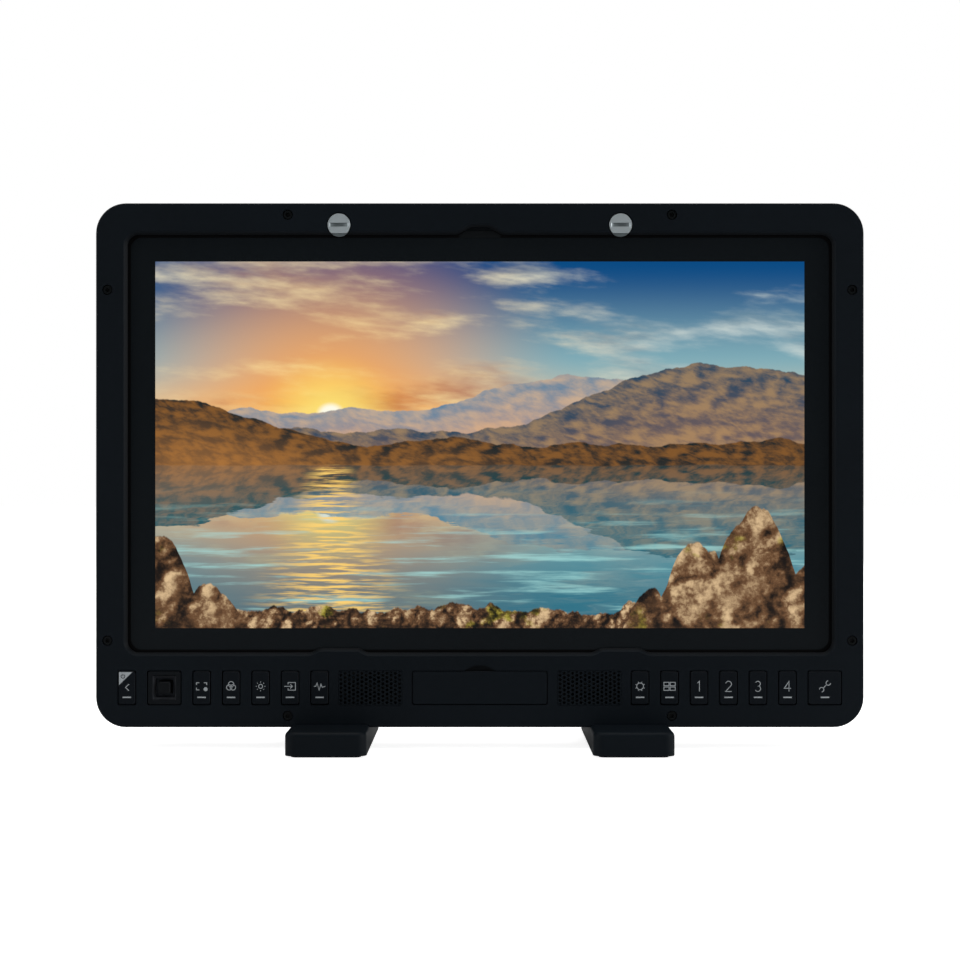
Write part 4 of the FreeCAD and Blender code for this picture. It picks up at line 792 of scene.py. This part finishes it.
# %% Paint the ridges
def spurs(order):
    """The height of a slope, in lumps that lean with its fall; nearer ridges have smaller ones."""
    def height(x, z):
        return lumps_at(x + z * 0.5, z * 1.7, 4.0 + 3.0 * order, 51.0 + order, 8.0, 0.55) * -1.0
    return height


def sky_and_ridges(x, z):
    """Colour at a place of the picture above the shore."""
    sideways = (x - sun_x) * aspect
    upward = (z - sun_z) * 1.25
    from_sun = distance(sideways, upward)
    warmth = from_sun.below(0.42, 0.42)
    color = sky(x, z, from_sun)
    ridges = (
        (line_at(x, 0.600, 0.16, 3.4, 11.0, 0.62, 0.30, 0.075), tint(92, 130, 158), tint(196, 172, 148)),
        (line_at(x, 0.545, 0.20, 3.0, 23.0, 0.86, 0.34, 0.190), tint(24, 66, 92), tint(148, 124, 96)),
        (line_at(x, 0.500, 0.12, 4.2, 37.0, 0.02, 0.30, 0.135), tint(18, 34, 38), tint(126, 84, 42)),
    )
    for order, (line, shade, light) in enumerate(ridges):
        ground = paint.mix(sunlit(spurs(order), x, z, 0.012, 1.15), shade, light)
        haze = (z - line).below(-0.10, 0.12) * (0.75 - 0.2 * order)
        ground = paint.mix(haze * warmth + haze * 0.25, ground, tint(248, 168, 88))
        color = paint.mix(z.below(line, 0.0022), color, ground)
    return color


land = sky_and_ridges(across, up)
print("sky and ridges take", len(paint.tree.nodes), "nodes")

# %% [markdown]
# The lake repeats the sky upside down, so the same function paints it. Ripples move the place that is looked
# up, more so towards the near shore, where the water's own teal comes through. Wind streaks and the sun's
# glitter lie on top.

# %% Paint the lake
ripple = clouds_at(across, up * 9.0, 5.0, 71.0, 5.0) - 0.5
nearness = (up - shore) / -shore
looked_up = up * -1.0 + ripple * nearness * 0.16 + 2.0 * shore
mirror = sky_and_ridges(across + ripple * nearness * 0.06, looked_up)
teal = paint.mix(nearness.step(0.0, 0.9), tint(64, 146, 158), tint(6, 104, 122))
lake = paint.mix(nearness.step(-0.2, 0.9) * 0.75, mirror, teal)
streaks = clouds_at(across * 0.8, up * 11.0, 4.0, 83.0, 7.0).step(0.50, 0.70)
lake = paint.mix(streaks * nearness.step(0.1, 0.6) * 0.65, lake, tint(170, 226, 222))
glint_width = nearness * 0.07 + 0.02
on_path = ((across - sun_x).math("ABSOLUTE") / glint_width).below(1.0, 0.9)
glints = clouds_at(across * 1.2, up * 16.0, 7.0, 91.0, 4.0).step(0.44, 0.62)
lake = paint.mix(on_path * glints * 0.95, lake, tint(255, 210, 112))
bank = line_at(across, shore - 0.006, 0.020, 7.0, 97.0)
picture = paint.mix(up.below(bank, 0.003), land, lake)
print("with the lake,", len(paint.tree.nodes), "nodes")

# %% [markdown]
# Rocks stand on the near shore: small ones along the water, and large ones at both corners. Their lumps
# and creases are noise at two sizes. Creases are dark, sides that face the sun are light, and moss grows
# in patches.

# %% Paint the near shore
def rocks(size, seed):
    """Colour of rough rock with lumps of about a size, as a share of the height of the picture."""
    def height(x, z):
        broad = lumps_at(x, z, 0.9 / size, seed, 2.0)
        return broad + lumps_at(x, z, 3.1 / size, seed + 3.0, 7.0, 0.6) * 0.45

    tone = sunlit(height, across, up, 0.05 * size, 0.9) * (height(across, up).step(0.0, 0.6) * 0.75 + 0.25)
    stone = paint.mix(tone.step(0.0, 0.45), tint(16, 12, 11), tint(108, 76, 50))
    stone = paint.mix(tone.step(0.35, 1.0), stone, tint(222, 190, 146))
    moss = clouds_at(across, up, 1.1 / size, seed + 9.0, 8.0).step(0.55, 0.63)
    green = paint.mix(tone.step(0.0, 0.7), tint(18, 22, 6), tint(168, 160, 44))
    return paint.mix(moss * 0.7, stone, green)


def lumpy(line, size, seed):
    """A line with the round lumps and sharp notches of a heap of stones."""
    return line + lumps_at(across, 0.0, 0.8 / size, seed, 5.0) * size * 0.45


def heap(domes):
    """The outline of round-topped rocks, each given by its middle, half its width and its height."""
    outline = across * 0.0
    for dome_middle, reach, height in domes:
        share = (across - dome_middle) / reach
        outline = outline.math("MAXIMUM", (share * share - 1.0) * -height)
    return outline


right_heap = [(0.765, 0.055, 0.13), (0.835, 0.075, 0.27), (0.925, 0.090, 0.36), (1.010, 0.070, 0.22)]
left_heap = [(0.000, 0.075, 0.30), (0.090, 0.060, 0.15)]
small_line = lumpy(line_at(across, 0.045, 0.08, 3.0, 105.0), 0.10, 151.0)
large_line = lumpy(heap(left_heap + right_heap) - 0.05, 0.14, 157.0)
picture = paint.mix(up.below(small_line, 0.003), picture, rocks(0.10, 161.0))
picture = paint.mix(up.below(large_line, 0.003), picture, rocks(0.20, 173.0))
print("with the rocks,", len(paint.tree.nodes), "nodes")

# %% [markdown]
# The picture lies as a thin lit layer on the front of the cover glass. It could sit on the panel behind real
# glass, as in the monitor, but then it would be dimmed and doubled by reflections in the glass, which the
# photograph doesn't show.

# %% Light the picture
paint.set(emission_color=picture, emission_strength=1.0)
glass_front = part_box("cover_glass")[0].y
lit_outline = [screen_low, (screen_high[0], screen_low[1]), screen_high, (screen_low[0], screen_high[1])]
lit_place = (0.0, glass_front - print_height, 0.0)
lit_layer = printed("lit_picture", [filled(lit_outline)], lit_place, paint.material)
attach(lit_layer, "chassis")
print("lit layer at", round(lit_place[1], 5), "m")

# %% [markdown]
# ## Signs on the keys
# Each key carries a small light grey sign, printed on its face. A sign is a few strokes of one pen, in
# millimetres from the middle of the key. A font has numerals, but none of the pictures, and its numerals
# would be heavier than the rest. So the numerals are pen strokes as well.

# %% A pen for signs
pen = 0.33 * mm


def strokes(*paths):
    """Pen lines along paths that are given in millimetres."""
    return [drawn(np.array(path) * mm, pen) for path in paths]


def box_path(width, height, x=0.0, z=0.0):
    """The four corners of a rectangle, anticlockwise."""
    return np.array([[-1, -1], [1, -1], [1, 1], [-1, 1]]) * [width / 2, height / 2] + [x, z]


def circle(x, z, radius):
    """A closed round pen line."""
    return drawn(arc(x, z, radius, 0.0, 348.75, 32) * mm, pen, closed=True)


def spokes(count, inner, outer, turn=0.0):
    """Short pen lines that point away from the middle, evenly turned."""
    angles = np.radians(turn + np.arange(count) * 360.0 / count)
    aims = np.column_stack([np.cos(angles), np.sin(angles)])
    return strokes(*[[aim * inner, aim * outer] for aim in aims])


def number_path(number):
    """The strokes of a plain numeral from 1 to 4, in straight lines and arcs."""
    if number == 1:
        return [[-0.7, 1.5], [0.15, 2.3], [0.15, -2.3]]
    if number == 2:
        return np.vstack([arc(0.0, 1.0, 1.3, 165.0, -25.0), [[-1.3, -2.3], [1.4, -2.3]]])
    if number == 3:
        return np.vstack([arc(-0.1, 1.15, 1.12, 150.0, -80.0), arc(-0.1, -1.05, 1.25, 80.0, -150.0)])
    return [[0.65, -2.3], [0.65, 2.2], [-1.5, -0.9], [1.5, -0.9]]


print("pen of", pen / mm, "mm")

# %% [markdown]
# The signs are pictures of what the keys do: a wave for the signal, an arrow into a frame for the input, rays
# for the backlight, three rings for colour, a framed view with a shutter for a still picture, a cog for
# settings, four small screens for several views, a spanner for tools and an arrow back. The four presets
# have plain numbers.

# %% Draw the signs
signal = [[-2.6, 0.0], [-1.7, 0.0], [-1.1, 1.5], [-0.2, -1.7], [0.6, 1.0], [1.2, -0.4], [2.6, 0.0]]
open_frame = [[-0.9, 0.9], [-0.9, 1.7], [2.4, 1.7], [2.4, -1.7], [-0.9, -1.7], [-0.9, -0.9]]
arrow_head = [[0.1, 0.9], [1.1, 0.0], [0.1, -0.9]]
view_corner = np.array([[1.0, 1.6], [2.3, 1.6], [2.3, 0.6]])
shutter = filled(arc(1.8, -1.3, 0.9, 0.0, 342.0) * mm)
petals = [arc(0.0, 0.0, 0.95, turn, turn, 1)[0] for turn in (90.0, 210.0, 330.0)]
screens = [box_path(2.3, 1.5, side * 1.4, level * 1.05) for side in (-1, 1) for level in (-1, 1)]
jaws = [arc(1.5, 1.5, 1.0, 95.0, 355.0), arc(-1.5, -1.5, 1.0, -85.0, 175.0)]
signs = {
    "key_scope": strokes(signal),
    "key_input": strokes(open_frame, arrow_head, [[-2.6, 0.0], [0.9, 0.0]]),
    "key_backlight": [circle(0.0, 0.0, 0.9)] + spokes(8, 1.75, 2.15),
    "key_color": [circle(*petal, 1.2) for petal in petals],
    "key_capture": strokes(*[view_corner * turn for turn in ([-1, -1], [-1, 1], [1, 1])]) + [shutter],
    "key_settings": [circle(0.0, 0.0, 1.5)] + spokes(8, 1.6, 2.2, 22.5),
    "key_multi_view": [drawn(screen * mm, pen, closed=True) for screen in screens],
    "key_tools": strokes([[-0.9, -0.9], [0.9, 0.9]], *jaws),
    "key_back": strokes([[0.95, 0.95], [-0.6, -0.5], [0.95, -1.95]]),
}
for number in range(1, 5):
    signs[f"key_preset_{number}"] = strokes(number_path(number))
print(len(signs), "signs drawn")

# %% [markdown]
# A sign sits a little above the middle of its key, with a short bar below it. It is a piece of its own and
# rides on the key's body, so that it goes in with the key. Painted into the key's material it would do the
# same, but all keys share one material.

# %% Print the signs
sign_lift = 0.73 * mm
bar = filled(box_path(3.8, 0.6, 0.0, -4.95) * mm)
light_print = skin("light_print", tint(160, 166, 170), 0.06, 0.6, 5000.0, 0.004 * mm, 18.0, 0.2)
bodies = {node: body for body, members in record["behaviour"]["bodies"].items() for node in members}


def print_on(node, name, shapes, place, ink):
    """Prints shapes on a node's face and lets them ride on its body."""
    sign = printed(name, shapes, place, ink.material)
    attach(sign, bodies[node])


for node, shapes in signs.items():
    low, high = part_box(node)
    place = ((low.x + high.x) / 2, low.y - print_height, (low.z + high.z) / 2 + sign_lift)
    print_on(node, node + "_sign", shapes + [bar], place, light_print)
print(len(signs), "signs printed")

# %% [markdown]
# The back key also switches the monitor on, so its upper left corner is light, with the usual sign for that
# in a dark ink. The corner starts inside the flange that holds the key behind the frame, and inside the
# rounded edge of its face.

# %% Print the power corner
key_flange, key_edge = 0.75 * mm, 0.25 * mm
power_pen = 0.3 * mm
dark_print = skin("dark_print", tint(30, 33, 36), 0.06, 0.6, 5000.0, 0.004 * mm, 18.0, 0.2)
low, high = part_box("key_back")
left, top = low.x + key_flange + key_edge, high.z - key_flange - key_edge
light_corner = filled(np.array([[0.0, -5.8], [6.0, 0.0], [0.0, 0.0]]) * mm)
power_ring = drawn(arc(1.75, -1.9, 0.85, 125.0, 415.0) * mm, power_pen)
power_line = strokes([[1.75, -0.8], [1.75, -1.8]])
power_sign = [power_ring, *power_line]
print_on("key_back", "power_corner", [light_corner], (left, low.y - print_height, top), light_print)
print_on("key_back", "power_sign", power_sign, (left, low.y - 2 * print_height, top), dark_print)
print("power corner at", round(left, 4), round(top, 4))

# %% [markdown]
# ## The size
# Dressing must not change how large the monitor is.
